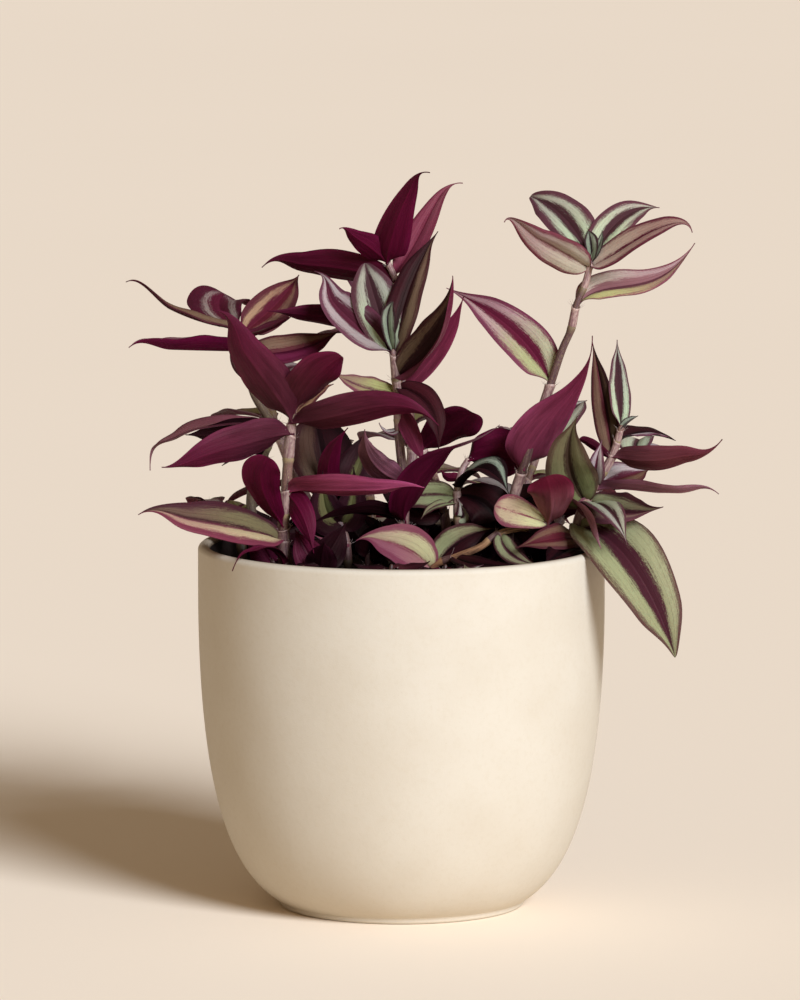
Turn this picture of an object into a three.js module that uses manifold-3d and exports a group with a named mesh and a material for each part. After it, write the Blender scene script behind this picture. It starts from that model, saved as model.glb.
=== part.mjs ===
// A potted tradescantia: leafy stems rooted in a filled ceramic pot.
// Millimetres, +Z up. The origin is the centre of the pot's underside, and the front looks along -Y.
import * as THREE from "three";
import { mergeVertices } from "three/addons/utils/BufferGeometryUtils.js";
import Module from "manifold-3d";

const wasm = await Module();
wasm.setup();

// Pot: a cream bowl with nearly straight upper walls and a rolled lip
const POT_HEIGHT = 130;
const RIM_RADIUS = 72.5;
const LIP_RADIUS = 2.1;
const SHOULDER_HEIGHT = 119;
const FOOT_RADIUS = 40;
const FLOOR_THICKNESS = 6;
const BELLY_HANDLES = [[63, 9], [73, 45]];
const HOLLOW_EDGE_INSET = 4;
const HOLLOW_HANDLE = [57, 14];
const HOLLOW_UPRIGHT_FROM = 45;
const HOLLOW_TOP = 114;
const POT_SIDES = 36;
const BELLY_POINTS = 8;
const HOLLOW_POINTS = 3;
const LIP_POINTS = 3;

// Soil: fills the pot to a little below the lip
const SOIL_TOP = 118;
const SOIL_EDGE_DROP = 1.5;
const SOIL_EDGE_WIDTH = 8;
const SEAT_GAP = 0.3;
const ROOT_DEPTH = 12;
const HOLE_SIDES = 8;
const HOLE_ABOVE_SOIL = 5;

// Leaves and stems
const BLADE_THICKNESS = 0.9;
const TIP_WIDTH = 1;
const BASE_GRIP = 0.8;
const RIB_STEP = 0.01;
const FOLD_DEGREES = 18;
const WIDEST_AT = 0.34;
const BASE_FULLNESS = 0.55;
const LEAF_STATIONS = [0, 0.13, 0.32, 0.54, 0.78, 1];
const SMALL_LEAF_STATIONS = [0, 0.3, 0.7, 1];
const SMALL_LEAF_WIDTH = 7;
const STEM_SIDES = 6;
const TIP_TAPER = 0.6;
const SIMPLE_ENOUGH = 0.1;
const SAME_POINT = 1e-4;

// Each stem: its radius, the place where it enters the soil, the points that it passes above the soil,
// and its leaves. A leaf springs from the stem at a point's number, 0 being the soil, and its rib passes
// the points given, the last of them its tip. "face" is where its upper side looks, [0, 0, 1] if not given.
const STEMS = [
  {
    name: "stem_left_front",
    radius: 2.2,
    root: [-40, -14],
    path: [[-42, -14, 133], [-41, -16, 147], [-40, -17, 162], [-39, -18, 173], [-38, -18, 180]],
    leaves: [
      { at: 4.5, rib: [[-51, -30, 196], [-66, -36, 217]], wide: 18, face: [0.3, 1, 0.2] },
      { at: 5, rib: [[-31, -30, 192], [-21, -38, 201]], wide: 16, face: [-0.2, 1, 0.3] },
      { at: 4.4, rib: [[-21, -33, 180], [-3, -41, 184], [13, -43, 177]], wide: 14, face: [0, 1, 0.35] },
      { at: 3.9, rib: [[-61, -34, 168], [-84, -40, 162]], wide: 16, face: [0, 1, 0.4] },
      { at: 1.4, rib: [[-49, -32, 154], [-47, -42, 166]], wide: 11, face: [0, 1, 0.6] },
      { at: 2.2, rib: [[-35, -23, 143], [-31, -27, 130]], wide: 10, face: [0.2, 1, 0.2] },
      { at: 2.3, rib: [[-16, -32, 153], [8, -34, 154]], wide: 15, face: [0, 0.75, 0.7] },
      { at: 1, rib: [[-67, -38, 142], [-92, -46, 146]], wide: 18, face: [0, -1.3, 1], fold: 20 },
      { at: 0.4, rib: [[-49, -36, 133], [-59, -52, 127]], wide: 5, face: [0, -0.3, 1] },
      { at: 4.7, rib: [[-31, -12, 184], [-24, -10, 188]], wide: 8, face: [0, -0.5, 1] },
    ],
  },
  {
    name: "stem_left_back",
    radius: 1.9,
    root: [-50, 22],
    path: [
      [-54, 22, 143], [-50, 20, 157], [-47, 16, 170], [-53, 12, 183], [-56, 10, 198], [-58, 10, 206],
    ],
    leaves: [
      { at: 6, rib: [[-77, -4, 212], [-97, -18, 225]], wide: 13, face: [0.2, -0.1, 1] },
      { at: 6, rib: [[-65, 24, 211], [-64, 34, 216]], wide: 17, face: [0, -1, 0.6] },
      { at: 5.7, rib: [[-45, 24, 213], [-37, 40, 222]], wide: 15, face: [0.2, -1, 0.4] },
      { at: 5.5, rib: [[-46, -2, 207], [-39, -10, 212]], wide: 12, face: [0, -0.4, 1] },
      { at: 5, rib: [[-77, -6, 200], [-96, -20, 202]], wide: 15, face: [0, 0.1, 1], fold: 42 },
      { at: 4.9, rib: [[-37, 14, 198], [-22, 20, 204]], wide: 14, face: [0, -0.7, 0.7] },
      { at: 3, rib: [[-75, 10, 169], [-90, 16, 154]], wide: 13, face: [0, -0.15, 1] },
      { at: 2.9, rib: [[-63, 8, 168], [-77, 6, 168]], wide: 12, face: [0, 1, 0.5] },
      { at: 2.2, rib: [[-56, 12, 160], [-64, 6, 157]], wide: 12, face: [0, 0.6, 1] },
    ],
  },
  {
    name: "stem_centre_front",
    radius: 1.9,
    root: [1, -2],
    path: [
      [1, -2, 138], [1, -2, 152], [0, -2, 160], [-1, -3, 171], [-1, -3, 182], [-2, -3, 189],
      [-3, -4, 199],
    ],
    leaves: [
      { at: 7, rib: [[-21, 4, 212], [-31, 12, 226]], wide: 17, face: [0.3, -1, 0.4], fold: 25 },
      { at: 6.9, rib: [[-9, 5, 215], [-13, 11, 229]], wide: 17, face: [0, -1, 0.3] },
      { at: 7, rib: [[-5, -5, 210], [-3, -7, 217]], wide: 7, face: [0, -1, 0.2], fold: 50 },
      { at: 6.8, rib: [[3, 4, 221], [13, 14, 240]], wide: 13, face: [-0.4, -1, 0.2] },
      { at: 6.1, rib: [[14, -16, 205], [18, -26, 228]], wide: 21, face: [-0.94, -0.33, 0.1], fold: 34 },
      { at: 5.6, rib: [[10, -14, 180], [13, -19, 165]], wide: 11, face: [0.3, -1, 0.5] },
      { at: 2, rib: [[-10, -10, 160], [-13, -20, 173]], wide: 12, face: [0.3, 1, 0.3] },
      { at: 5.2, rib: [[-14, -2, 186], [-24, 0, 191]], wide: 11, face: [0, -0.5, 1] },
      { at: 4, rib: [[-5, -6, 170], [-8, -8, 174]], wide: 5, face: [0, -0.5, 1] },
      { at: 1, rib: [[3, -12, 150], [11, -18, 161], [21, -24, 168]], wide: 13, face: [-0.3, 1, 0.3] },
      { at: 1, rib: [[-14, -6, 142], [-33, -10, 138]], wide: 12, face: [0, 0.5, 0.9] },
      { at: 4.7, rib: [[4, -9, 169], [8, -13, 160]], wide: 7, face: [0, 1, 0.2] },
    ],
  },
  {
    name: "stem_centre_back",
    radius: 1.6,
    root: [18, 14],
    path: [
      [14, 12, 145], [8, 8, 161], [5, 8, 166], [2, 10, 178], [-1, 14, 198], [-1, 16, 219],
      [-5, 16, 229],
    ],
    leaves: [
      { at: 6.3, rib: [[-28, 22, 227], [-50, 26, 226]], wide: 14, face: [0, 1, 0.5] },
      { at: 5.4, rib: [[-26, 14, 209.5], [-48, 10, 212]], wide: 11, face: [0, 1, 0.6] },
      { at: 7, rib: [[-3, 7, 240], [3, -2, 256], [10, -10, 263]], wide: 13, face: [0.1, 1, 0] },
      { at: 7, rib: [[-14, 8, 237], [-22, 2, 242]], wide: 10, face: [0, 1, 0.4] },
      { at: 6.5, rib: [[7, 24, 239], [14, 34, 251], [22, 42, 255]], wide: 10, face: [-0.3, -1, 0.2] },
      { at: 4.3, rib: [[14, 6, 200], [22, 0, 218]], wide: 8, face: [-0.2, 1, 0.2] },
      { at: 2.3, rib: [[16, 0, 170], [25, -10, 178]], wide: 14, face: [-0.2, 1, 0.3] },
      { at: 2, rib: [[23, 4, 165], [35, 3, 172]], wide: 5 },
      { at: 0.8, rib: [[3, 13, 142], [-11, 16, 152]], wide: 13, face: [0, -1, 0.4] },
    ],
  },
  {
    name: "stem_right_tall",
    radius: 1.7,
    root: [38, -4],
    path: [
      [39, -4, 142], [41, -5, 151], [43, -6, 157], [51, -6, 182], [53, -6, 188], [57, -6, 200],
      [60, -6, 207], [62, -6, 216], [65, -5, 223], [67, -4, 231],
    ],
    leaves: [
      { at: 5, rib: [[39, 4, 206], [16, 12, 220]], wide: 18, face: [0.3, -1, 0.5] },
      { at: 8, rib: [[75, 4, 221], [90, 14, 223], [105, 24, 235]], wide: 14, face: [-0.2, -1, 0.7] },
      { at: 9.7, rib: [[52, -14, 238], [36, -28, 247]], wide: 14, face: [-0.2, -1, -0.2] },
      { at: 10, rib: [[58, 8, 245], [46, 20, 252]], wide: 17, face: [0.2, -1, 0.4] },
      { at: 10, rib: [[78, 8, 245], [92, 20, 248]], wide: 13, face: [0, -1, 0.5] },
      { at: 9.8, rib: [[78, -10, 236], [91, -18, 244], [102, -24, 243]], wide: 12, face: [0, -0.7, 0.7] },
      { at: 10, rib: [[67, -5, 237], [66, -6, 242]], wide: 6, face: [0, -1, 0.2], fold: 50 },
      { at: 10, rib: [[70, -4, 237], [71, -3, 242]], wide: 4.5, face: [0, -1, 0.2], fold: 50 },
      { at: 3, rib: [[51, -9, 173], [62, -15, 188], [67, -28, 207]], wide: 17, face: [-0.3, 1, 0.2] },
      { at: 1.4, rib: [[47, 2, 146], [56, 6, 153]], wide: 12, face: [0, -1, 0.3] },
    ],
  },
  {
    name: "stem_right_low",
    radius: 1.7,
    root: [60, -6],
    path: [[62, -6, 130], [63, -5, 139], [69, -4, 151], [75, -4, 162], [78, -4, 172]],
    leaves: [
      { at: 4, rib: [[72, 4, 181], [68, 10, 201]], wide: 10, face: [-0.3, -1, 0] },
      { at: 5, rib: [[77, 6, 187], [77, 16, 201]], wide: 9, face: [0.3, -1, 0] },
      { at: 2.5, rib: [[59, -16, 161], [62, -22, 178]], wide: 19, face: [-0.1, -1, 0.25] },
      { at: 3, rib: [[69, -10, 159], [71, -10, 168]], wide: 7, face: [0, -1, 0.2] },
      { at: 3.9, rib: [[66, -6, 167], [63, -8, 168]], wide: 4, face: [0, 1, 0.5] },
      { at: 4.6, rib: [[88, 8, 168], [98, 14, 165]], wide: 13, face: [0, -0.4, 1] },
      { at: 4.9, rib: [[81, -4, 174], [84, -4, 176]], wide: 4, face: [0, -0.5, 1], fold: 50 },
      { at: 4, rib: [[93, -16, 162], [113, -24, 170]], wide: 11, face: [0, 1, 0.4] },
      { at: 3, rib: [[92, -12, 150], [112, -20, 150]], wide: 11, face: [0, 0.5, 1] },
      { at: 3, rib: [[80, 8, 153], [89, 18, 154]], wide: 13, face: [0, -1, 0.6] },
      { at: 2.6, rib: [[77, -20, 143], [92, -32, 147]], wide: 19, face: [0, -1, 0.8] },
      { at: 2.4, rib: [[73, -34, 146], [79, -43, 135]], wide: 11, face: [0.3, -1, 0.6] },
      { at: 2.3, rib: [[65, -24, 143], [70, -38, 133]], wide: 11, face: [0.2, 1, 0.6] },
      { at: 1.7, rib: [[77, -29, 131], [89, -38, 113], [96, -42, 95]], wide: 26, face: [0.35, -1, 0.4] },
      { at: 1.2, rib: [[54, -19, 134], [40, -22, 131]], wide: 12, face: [0, -0.8, 0.6] },
      { at: 0.9, rib: [[56, -24, 129], [50, -35, 127]], wide: 11, face: [0, -0.8, 1] },
    ],
  },
  {
    name: "stem_creeping",
    radius: 1.4,
    root: [8, -6],
    path: [[12, -7, 123], [19, -9, 126], [28, -11, 130], [35, -11, 135], [46, -10, 137], [52, -8, 138]],
    leaves: [
      { at: 1, rib: [[21, -7, 132], [33, -7, 136]], wide: 13, face: [0, -1, 0.35] },
      { at: 0.7, rib: [[-1, -15, 131], [-16, -17, 133]], wide: 18, face: [0, -1, 0.5] },
      { at: 6, rib: [[42, -13, 142], [33, -14, 145]], wide: 10, face: [0, -1, 0.5] },
      { at: 6, rib: [[53, -20, 148], [51, -25, 157]], wide: 13, face: [0, 1, 0.1] },
      { at: 4, rib: [[39, -18, 128], [49, -22, 125]], wide: 8, face: [0, -1, 0.6] },
      { at: 2, rib: [[27, -22, 125], [42, -30, 126]], wide: 8, face: [0, -0.5, 1] },
    ],
  },
  {
    name: "shoot_centre_low",
    radius: 1.5,
    root: [20, 4],
    path: [[20, 4, 141], [20, 5, 149], [22, 7, 156], [24, 8, 159]],
    leaves: [
      { at: 4, rib: [[36, 6, 160], [51, 10, 161]], wide: 21, face: [0, 1, 0.4] },
      { at: 2, rib: [[30, -5, 157], [38, -11, 149]], wide: 17, face: [0.2, -0.6, 1] },
      { at: 1.7, rib: [[29, 2, 144], [34, 0, 138]], wide: 13, face: [0, -1, 0.4] },
      { at: 1.6, rib: [[6, 6, 146], [-7, 7, 142]], wide: 11, face: [0, -1, 0.6] },
      { at: 0.5, rib: [[26, 1, 132], [33, -1, 134]], wide: 11, face: [0, -1, 0.5] },
      { at: 1.3, rib: [[12, 0, 143], [7, -4, 139]], wide: 5, face: [0, -0.5, 1] },
      { at: 0.9, rib: [[22, 2, 140], [20, 2, 146]], wide: 6, face: [0, -1, 0.1] },
      { at: 2.6, rib: [[17, 4, 153], [14, 2, 156]], wide: 4, face: [0, 1, 0.4] },
    ],
  },
  {
    name: "shoot_left_low",
    radius: 1.5,
    root: [-19, 5],
    path: [[-20, 6, 130], [-23, 8, 139], [-24, 8, 144]],
    leaves: [
      { at: 3, rib: [[-28, 10, 157], [-31, 18, 172]], wide: 19, face: [0.2, -1, 0.1] },
      { at: 2.7, rib: [[-26, 0, 158], [-19, -6, 172]], wide: 9, face: [0.3, 1, 0] },
      { at: 1.8, rib: [[-27, 2, 142], [-28, 0, 156]], wide: 15, face: [0, -1, 0.2] },
      { at: 1.6, rib: [[-18, 4, 143], [-17, 2, 157]], wide: 13, face: [0.2, -1, 0.2] },
      { at: 1, rib: [[-34, 4, 131], [-46, 2, 131]], wide: 12, face: [0, -1, 0.8] },
      { at: 0.9, rib: [[-24, 0, 129], [-32, -4, 134]], wide: 6, face: [0, -0.5, 1] },
      { at: 2.6, rib: [[-17, 8, 153], [-13, 11, 166]], wide: 14, face: [0, -1, 0.1] },
    ],
  },
  {
    name: "stem_back_left",
    radius: 1.8,
    root: [-28, 34],
    path: [[-32, 38, 135], [-40, 46, 152], [-46, 54, 167], [-48, 60, 178]],
    leaves: [
      { at: 4, rib: [[-56, 72, 186], [-62, 84, 192]], wide: 15, face: [0, -0.6, 1] },
      { at: 4, rib: [[-42, 70, 184], [-36, 86, 184]], wide: 15, face: [0, -0.6, 1] },
      { at: 3, rib: [[-60, 72, 168], [-72, 90, 162]], wide: 16 },
      { at: 2.6, rib: [[-26, 66, 158], [-18, 84, 156]], wide: 15 },
      { at: 1.6, rib: [[-52, 58, 142], [-66, 66, 134]], wide: 15 },
      { at: 0.9, rib: [[-34, 56, 138], [-36, 78, 132]], wide: 14 },
      { at: 0.5, rib: [[-36, 24, 132], [-42, 14, 136]], wide: 12 },
    ],
  },
  {
    name: "stem_back_centre",
    radius: 1.8,
    root: [2, 44],
    path: [[2, 46, 138], [4, 50, 158], [2, 56, 178], [-2, 60, 196], [-4, 62, 206]],
    leaves: [
      { at: 5, rib: [[-14, 72, 218], [-22, 82, 224]], wide: 15, face: [0, -0.6, 1] },
      { at: 5, rib: [[2, 76, 215], [3, 90, 216]], wide: 13, face: [0, -0.6, 1] },
      { at: 4, rib: [[-20, 72, 198], [-34, 84, 194]], wide: 16 },
      { at: 2.4, rib: [[14, 72, 167], [22, 88, 160]], wide: 16 },
      { at: 2, rib: [[-8, 72, 160], [-16, 90, 154]], wide: 16 },
      { at: 1.4, rib: [[18, 64, 148], [30, 82, 142]], wide: 15 },
      { at: 0.6, rib: [[4, 35, 136], [8, 27, 141]], wide: 13 },
    ],
  },
  {
    name: "stem_back_right",
    radius: 1.7,
    root: [36, 30],
    path: [[40, 34, 134], [46, 42, 148], [50, 50, 158]],
    leaves: [
      { at: 3, rib: [[60, 64, 168], [68, 80, 172]], wide: 15, face: [0, -0.6, 1] },
      { at: 3, rib: [[42, 68, 162], [38, 84, 160]], wide: 15 },
      { at: 2, rib: [[58, 58, 146], [70, 74, 142]], wide: 16 },
      { at: 1.4, rib: [[28, 58, 144], [22, 78, 140]], wide: 15 },
      { at: 0.8, rib: [[50, 48, 136], [62, 62, 128]], wide: 14 },
      { at: 0.7, rib: [[34, 22, 135], [30, 13, 138]], wide: 12 },
    ],
  },
  {
    name: "stem_trailing_back",
    radius: 1.6,
    root: [-10, 52],
    path: [[-11, 60, 134], [-12, 73, 138], [-13, 83, 124], [-14, 84, 104], [-12, 83, 84], [-9, 81, 68]],
    leaves: [
      { at: 2, rib: [[-26, 78, 146], [-38, 82, 146]], wide: 14 },
      { at: 3, rib: [[0, 92, 122], [12, 98, 112]], wide: 15, face: [0, 1, 0.6] },
      { at: 4, rib: [[-28, 92, 98], [-40, 96, 86]], wide: 15, face: [0, 1, 0.6] },
      { at: 5, rib: [[2, 90, 78], [12, 94, 64]], wide: 14, face: [0, 1, 0.5] },
      { at: 6, rib: [[-16, 86, 56], [-20, 90, 42]], wide: 13, face: [0, 1, 0.4] },
      { at: 6, rib: [[-4, 86, 56], [0, 88, 46]], wide: 9, face: [0, 1, 0.4], fold: 30 },
    ],
  },
  {
    name: "stem_side_right",
    radius: 1.6,
    root: [50, 16],
    path: [[56, 20, 134], [68, 28, 146], [78, 36, 152], [84, 40, 156]],
    leaves: [
      { at: 4, rib: [[92, 48, 158], [98, 54, 156]], wide: 10 },
      { at: 4, rib: [[86, 56, 160], [90, 70, 156]], wide: 14 },
      { at: 2, rib: [[72, 42, 142], [80, 54, 132]], wide: 13 },
      { at: 1.2, rib: [[74, 14, 137], [88, 18, 122]], wide: 14, face: [0.6, 0, 1] },
    ],
  },
  {
    name: "stem_side_left",
    radius: 1.6,
    root: [-56, 6],
    path: [[-58, 12, 130], [-64, 26, 137], [-70, 40, 139]],
    leaves: [
      { at: 3, rib: [[-72, 54, 137], [-74, 68, 128]], wide: 15 },
      { at: 2.4, rib: [[-74, 40, 138], [-83, 46, 133]], wide: 13 },
      { at: 1.8, rib: [[-56, 42, 138], [-58, 60, 130]], wide: 14 },
      { at: 1.2, rib: [[-68, 8, 138], [-76, 4, 141]], wide: 11, face: [0, -1, 0.4] },
    ],
  },
];

const LOOKS = {
  pot: { color: 0xe9dfcb, roughness: 0.75 },
  soil: { color: 0x2f2119, roughness: 0.95 },
  plant: { color: 0x6f4a5c, roughness: 0.5 },
};

function vector(point) {
  return new THREE.Vector3(...point);
}

// A closed three.js geometry as a solid that can be joined and cut
function solidOf(geometry) {
  const bare = geometry.clone();
  bare.deleteAttribute("normal");
  bare.deleteAttribute("uv");
  const merged = mergeVertices(bare, SAME_POINT);
  const mesh = new wasm.Mesh({
    numProp: 3,
    vertProperties: new Float32Array(merged.attributes.position.array),
    triVerts: new Uint32Array(merged.index.array),
  });
  return new wasm.Manifold(mesh);
}

function geometryOf(solid) {
  const mesh = solid.getMesh();
  const geometry = new THREE.BufferGeometry();
  geometry.setAttribute("position", new THREE.BufferAttribute(mesh.vertProperties, 3));
  geometry.setIndex(new THREE.BufferAttribute(mesh.triVerts, 1));
  geometry.computeVertexNormals();
  return geometry;
}

function geometryFrom(points, triangles) {
  const geometry = new THREE.BufferGeometry();
  const flat = points.flatMap((point) => [point.x, point.y, point.z]);
  geometry.setAttribute("position", new THREE.Float32BufferAttribute(flat, 3));
  geometry.setIndex(triangles.flat());
  return geometry;
}

function nodeMesh(name, geometry, look) {
  const material = new THREE.MeshStandardMaterial({ ...look, metalness: 0 });
  const mesh = new THREE.Mesh(geometry, material);
  mesh.name = name;
  return mesh;
}

// The profile turns about the pot's axis, which is turned here from +Y to +Z
function turned(profile) {
  return new THREE.LatheGeometry(profile, POT_SIDES).rotateX(Math.PI / 2);
}

function outerWall() {
  const belly = new THREE.CubicBezierCurve(
    new THREE.Vector2(FOOT_RADIUS, 0),
    ...BELLY_HANDLES.map((handle) => new THREE.Vector2(...handle)),
    new THREE.Vector2(RIM_RADIUS, SHOULDER_HEIGHT),
  );
  return belly.getPoints(BELLY_POINTS);
}

// The inner wall runs from the floor up to the lip, "inset" nearer to the axis than the wall itself
function innerWall(inset) {
  const top = RIM_RADIUS - 2 * LIP_RADIUS - inset;
  const hollow = new THREE.CubicBezierCurve(
    new THREE.Vector2(FOOT_RADIUS - HOLLOW_EDGE_INSET, FLOOR_THICKNESS + inset),
    new THREE.Vector2(HOLLOW_HANDLE[0] - inset, HOLLOW_HANDLE[1] + inset),
    new THREE.Vector2(top, HOLLOW_UPRIGHT_FROM),
    new THREE.Vector2(top, HOLLOW_TOP),
  );
  return hollow.getPoints(HOLLOW_POINTS);
}

function lip() {
  const centre = RIM_RADIUS - LIP_RADIUS;
  const arc = new THREE.Path();
  arc.absarc(centre, POT_HEIGHT - LIP_RADIUS, LIP_RADIUS, 0, Math.PI, false);
  return arc.getPoints(LIP_POINTS);
}

function pot() {
  const underside = [new THREE.Vector2(0, 0)];
  const floor = [new THREE.Vector2(0, FLOOR_THICKNESS)];
  const profile = [...underside, ...outerWall(), ...lip(), ...innerWall(0).reverse(), ...floor];
  return nodeMesh("pot", geometryOf(solidOf(turned(profile))), LOOKS.pot);
}

// The soil stands off the wall by the seat gap, and has a plain hole for each stem
function soil() {
  const wall = innerWall(SEAT_GAP);
  const edge = RIM_RADIUS - 2 * LIP_RADIUS - SEAT_GAP;
  const profile = [
    new THREE.Vector2(0, FLOOR_THICKNESS + SEAT_GAP),
    ...wall,
    new THREE.Vector2(edge, SOIL_TOP - SOIL_EDGE_DROP),
    new THREE.Vector2(edge - SOIL_EDGE_WIDTH, SOIL_TOP),
    new THREE.Vector2(0, SOIL_TOP),
  ];
  const filled = solidOf(turned(profile));
  const holes = STEMS.map(({ root, radius }) => {
    const depth = ROOT_DEPTH + SEAT_GAP;
    const corner = (radius + SEAT_GAP) / Math.cos(Math.PI / HOLE_SIDES);
    const hole = new THREE.CylinderGeometry(corner, corner, depth + HOLE_ABOVE_SOIL, HOLE_SIDES);
    hole.rotateX(Math.PI / 2);
    hole.translate(root[0], root[1], SOIL_TOP + (HOLE_ABOVE_SOIL - depth) / 2);
    return solidOf(hole);
  });
  return nodeMesh("soil", geometryOf(wasm.Manifold.difference([filled, ...holes])), LOOKS.soil);
}

// Rings of points joined into one closed tube with flat ends
function tube(rings) {
  const sides = rings[0].length;
  const triangles = [];
  for (let ring = 0; ring + 1 < rings.length; ring += 1) {
    for (let side = 0; side < sides; side += 1) {
      const a = ring * sides + side;
      const b = ring * sides + ((side + 1) % sides);
      triangles.push([a, b, b + sides], [a, b + sides, a + sides]);
    }
  }
  const last = (rings.length - 1) * sides;
  for (let side = 1; side + 1 < sides; side += 1) {
    triangles.push([0, side + 1, side], [last, last + side, last + side + 1]);
  }
  return geometryFrom(rings.flat(), triangles);
}

function ringAt(centre, direction, radius) {
  const across = new THREE.Vector3(1, 0, 0);
  across.addScaledVector(direction, -across.dot(direction)).normalize();
  const up = direction.clone().cross(across);
  return Array.from({ length: STEM_SIDES }, (_, side) => {
    const turn = (2 * Math.PI * side) / STEM_SIDES;
    const point = centre.clone().addScaledVector(across, radius * Math.cos(turn));
    return point.addScaledVector(up, radius * Math.sin(turn));
  });
}

// The line of a stem above the soil; point number n of it lies at n / (its reaches)
function stemLine({ root, path }) {
  return new THREE.CatmullRomCurve3([vector([...root, SOIL_TOP]), ...path.map(vector)]);
}

// A stem stands straight in its hole, then follows its line and narrows towards the tip
function stemSolid(stem) {
  const line = stemLine(stem);
  const steps = stem.path.length;
  const up = new THREE.Vector3(0, 0, 1);
  const rings = [
    ringAt(vector([...stem.root, SOIL_TOP - ROOT_DEPTH]), up, stem.radius),
    ringAt(vector([...stem.root, SOIL_TOP]), up, stem.radius),
  ];
  for (let step = 1; step <= steps; step += 1) {
    const t = step / steps;
    const radius = stem.radius * (1 - (1 - TIP_TAPER) * t ** 3);
    rings.push(ringAt(line.getPoint(t), line.getTangent(t), radius));
  }
  return solidOf(tube(rings));
}

// The smooth curve through evenly spaced points: a parabola through three, a cubic through four
function ribPoint(points, t) {
  const last = points.length - 1;
  const place = new THREE.Vector3();
  points.forEach((point, i) => {
    let weight = 1;
    points.forEach((_, j) => {
      if (j !== i) {
        weight *= (t * last - j) / (i - j);
      }
    });
    place.addScaledVector(point, weight);
  });
  return place;
}

function ribDirection(points, t) {
  return ribPoint(points, t + RIB_STEP).sub(ribPoint(points, t - RIB_STEP)).normalize();
}

// Half the blade's width: full near the base, then a long taper to the tip
function halfWidth(wide, stemRadius, t) {
  const tipFullness = (BASE_FULLNESS * (1 - WIDEST_AT)) / WIDEST_AT;
  const share = (t / WIDEST_AT) ** BASE_FULLNESS * ((1 - t) / (1 - WIDEST_AT)) ** tipFullness;
  const least = t < WIDEST_AT ? stemRadius * BASE_GRIP : TIP_WIDTH / 2;
  return Math.max((wide / 2) * share, least);
}

// A blade folded along its rib, with its two faces split into triangles alike
function leafSolid(leaf, line, stem) {
  const base = line.getPoint(leaf.at / stem.path.length);
  const points = [base, ...leaf.rib.map(vector)];
  const fold = THREE.MathUtils.degToRad(leaf.fold ?? FOLD_DEGREES);
  const stations = leaf.wide < SMALL_LEAF_WIDTH ? SMALL_LEAF_STATIONS : LEAF_STATIONS;
  const upper = [];
  const lower = [];
  for (const t of stations) {
    const direction = ribDirection(points, t);
    const normal = vector(leaf.face ?? [0, 0, 1]);
    normal.addScaledVector(direction, -normal.dot(direction)).normalize();
    const across = normal.clone().cross(direction);
    const half = halfWidth(leaf.wide, stem.radius, t);
    for (const side of [-1, 0, 1]) {
      const point = ribPoint(points, t).addScaledVector(across, side * half * Math.cos(fold));
      point.addScaledVector(normal, Math.abs(side) * half * Math.sin(fold));
      upper.push(point.clone().addScaledVector(normal, BLADE_THICKNESS / 2));
      lower.push(point.clone().addScaledVector(normal, -BLADE_THICKNESS / 2));
    }
  }
  return solidOf(sheet(upper, lower, stations.length));
}

// Two faces, three points wide, joined along their edges
function sheet(upper, lower, rows) {
  const count = upper.length;
  const triangles = [];
  const quad = (a, b, c, d) => triangles.push([a, b, c], [a, c, d]);
  for (let row = 0; row + 1 < rows; row += 1) {
    const a = row * 3;
    for (const cell of [a, a + 1]) {
      quad(cell, cell + 3, cell + 4, cell + 1);
      triangles.push([count + cell, count + cell + 4, count + cell + 3]);
      triangles.push([count + cell, count + cell + 1, count + cell + 4]);
    }
    quad(a, count + a, count + a + 3, a + 3);
    quad(a + 5, count + a + 5, count + a + 2, a + 2);
  }
  const end = (rows - 1) * 3;
  for (const cell of [0, 1]) {
    quad(cell, cell + 1, count + cell + 1, count + cell);
    quad(end + cell, count + end + cell, count + end + cell + 1, end + cell + 1);
  }
  return geometryFrom([...upper, ...lower], triangles);
}

// Where leaves cross they can close off a small hollow or scrap: only the body itself is kept
function largestBody(solid) {
  return solid.simplify(SIMPLE_ENOUGH).decompose().sort((a, b) => b.volume() - a.volume())[0];
}

function leafyStem(stem) {
  const line = stemLine(stem);
  const leaves = stem.leaves.map((leaf) => leafSolid(leaf, line, stem));
  const joined = wasm.Manifold.union([stemSolid(stem), ...leaves]);
  return nodeMesh(stem.name, geometryOf(largestBody(joined)), LOOKS.plant);
}

const plant = new THREE.Group();
plant.name = "potted_tradescantia";
plant.add(pot(), soil(), ...STEMS.map(leafyStem));

export default plant;
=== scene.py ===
# A potted tradescantia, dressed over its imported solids.
# Shapes are given in millimetres and made in metres, +Z up, with the front towards -Y.
import math
import random
from types import SimpleNamespace

import bpy
import numpy as np
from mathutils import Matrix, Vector


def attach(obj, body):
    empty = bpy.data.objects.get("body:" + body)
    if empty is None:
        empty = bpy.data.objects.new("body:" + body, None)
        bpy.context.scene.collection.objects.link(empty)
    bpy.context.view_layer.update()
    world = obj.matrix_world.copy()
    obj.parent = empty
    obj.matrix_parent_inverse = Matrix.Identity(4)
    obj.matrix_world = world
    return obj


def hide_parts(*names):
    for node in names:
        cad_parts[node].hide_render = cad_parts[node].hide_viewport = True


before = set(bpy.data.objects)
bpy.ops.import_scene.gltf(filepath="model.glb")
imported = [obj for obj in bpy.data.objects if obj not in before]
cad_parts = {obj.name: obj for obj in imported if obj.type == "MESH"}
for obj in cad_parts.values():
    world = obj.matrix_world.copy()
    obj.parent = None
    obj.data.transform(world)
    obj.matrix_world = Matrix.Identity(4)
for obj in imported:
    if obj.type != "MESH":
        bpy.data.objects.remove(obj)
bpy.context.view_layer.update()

MM = 0.001

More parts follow.
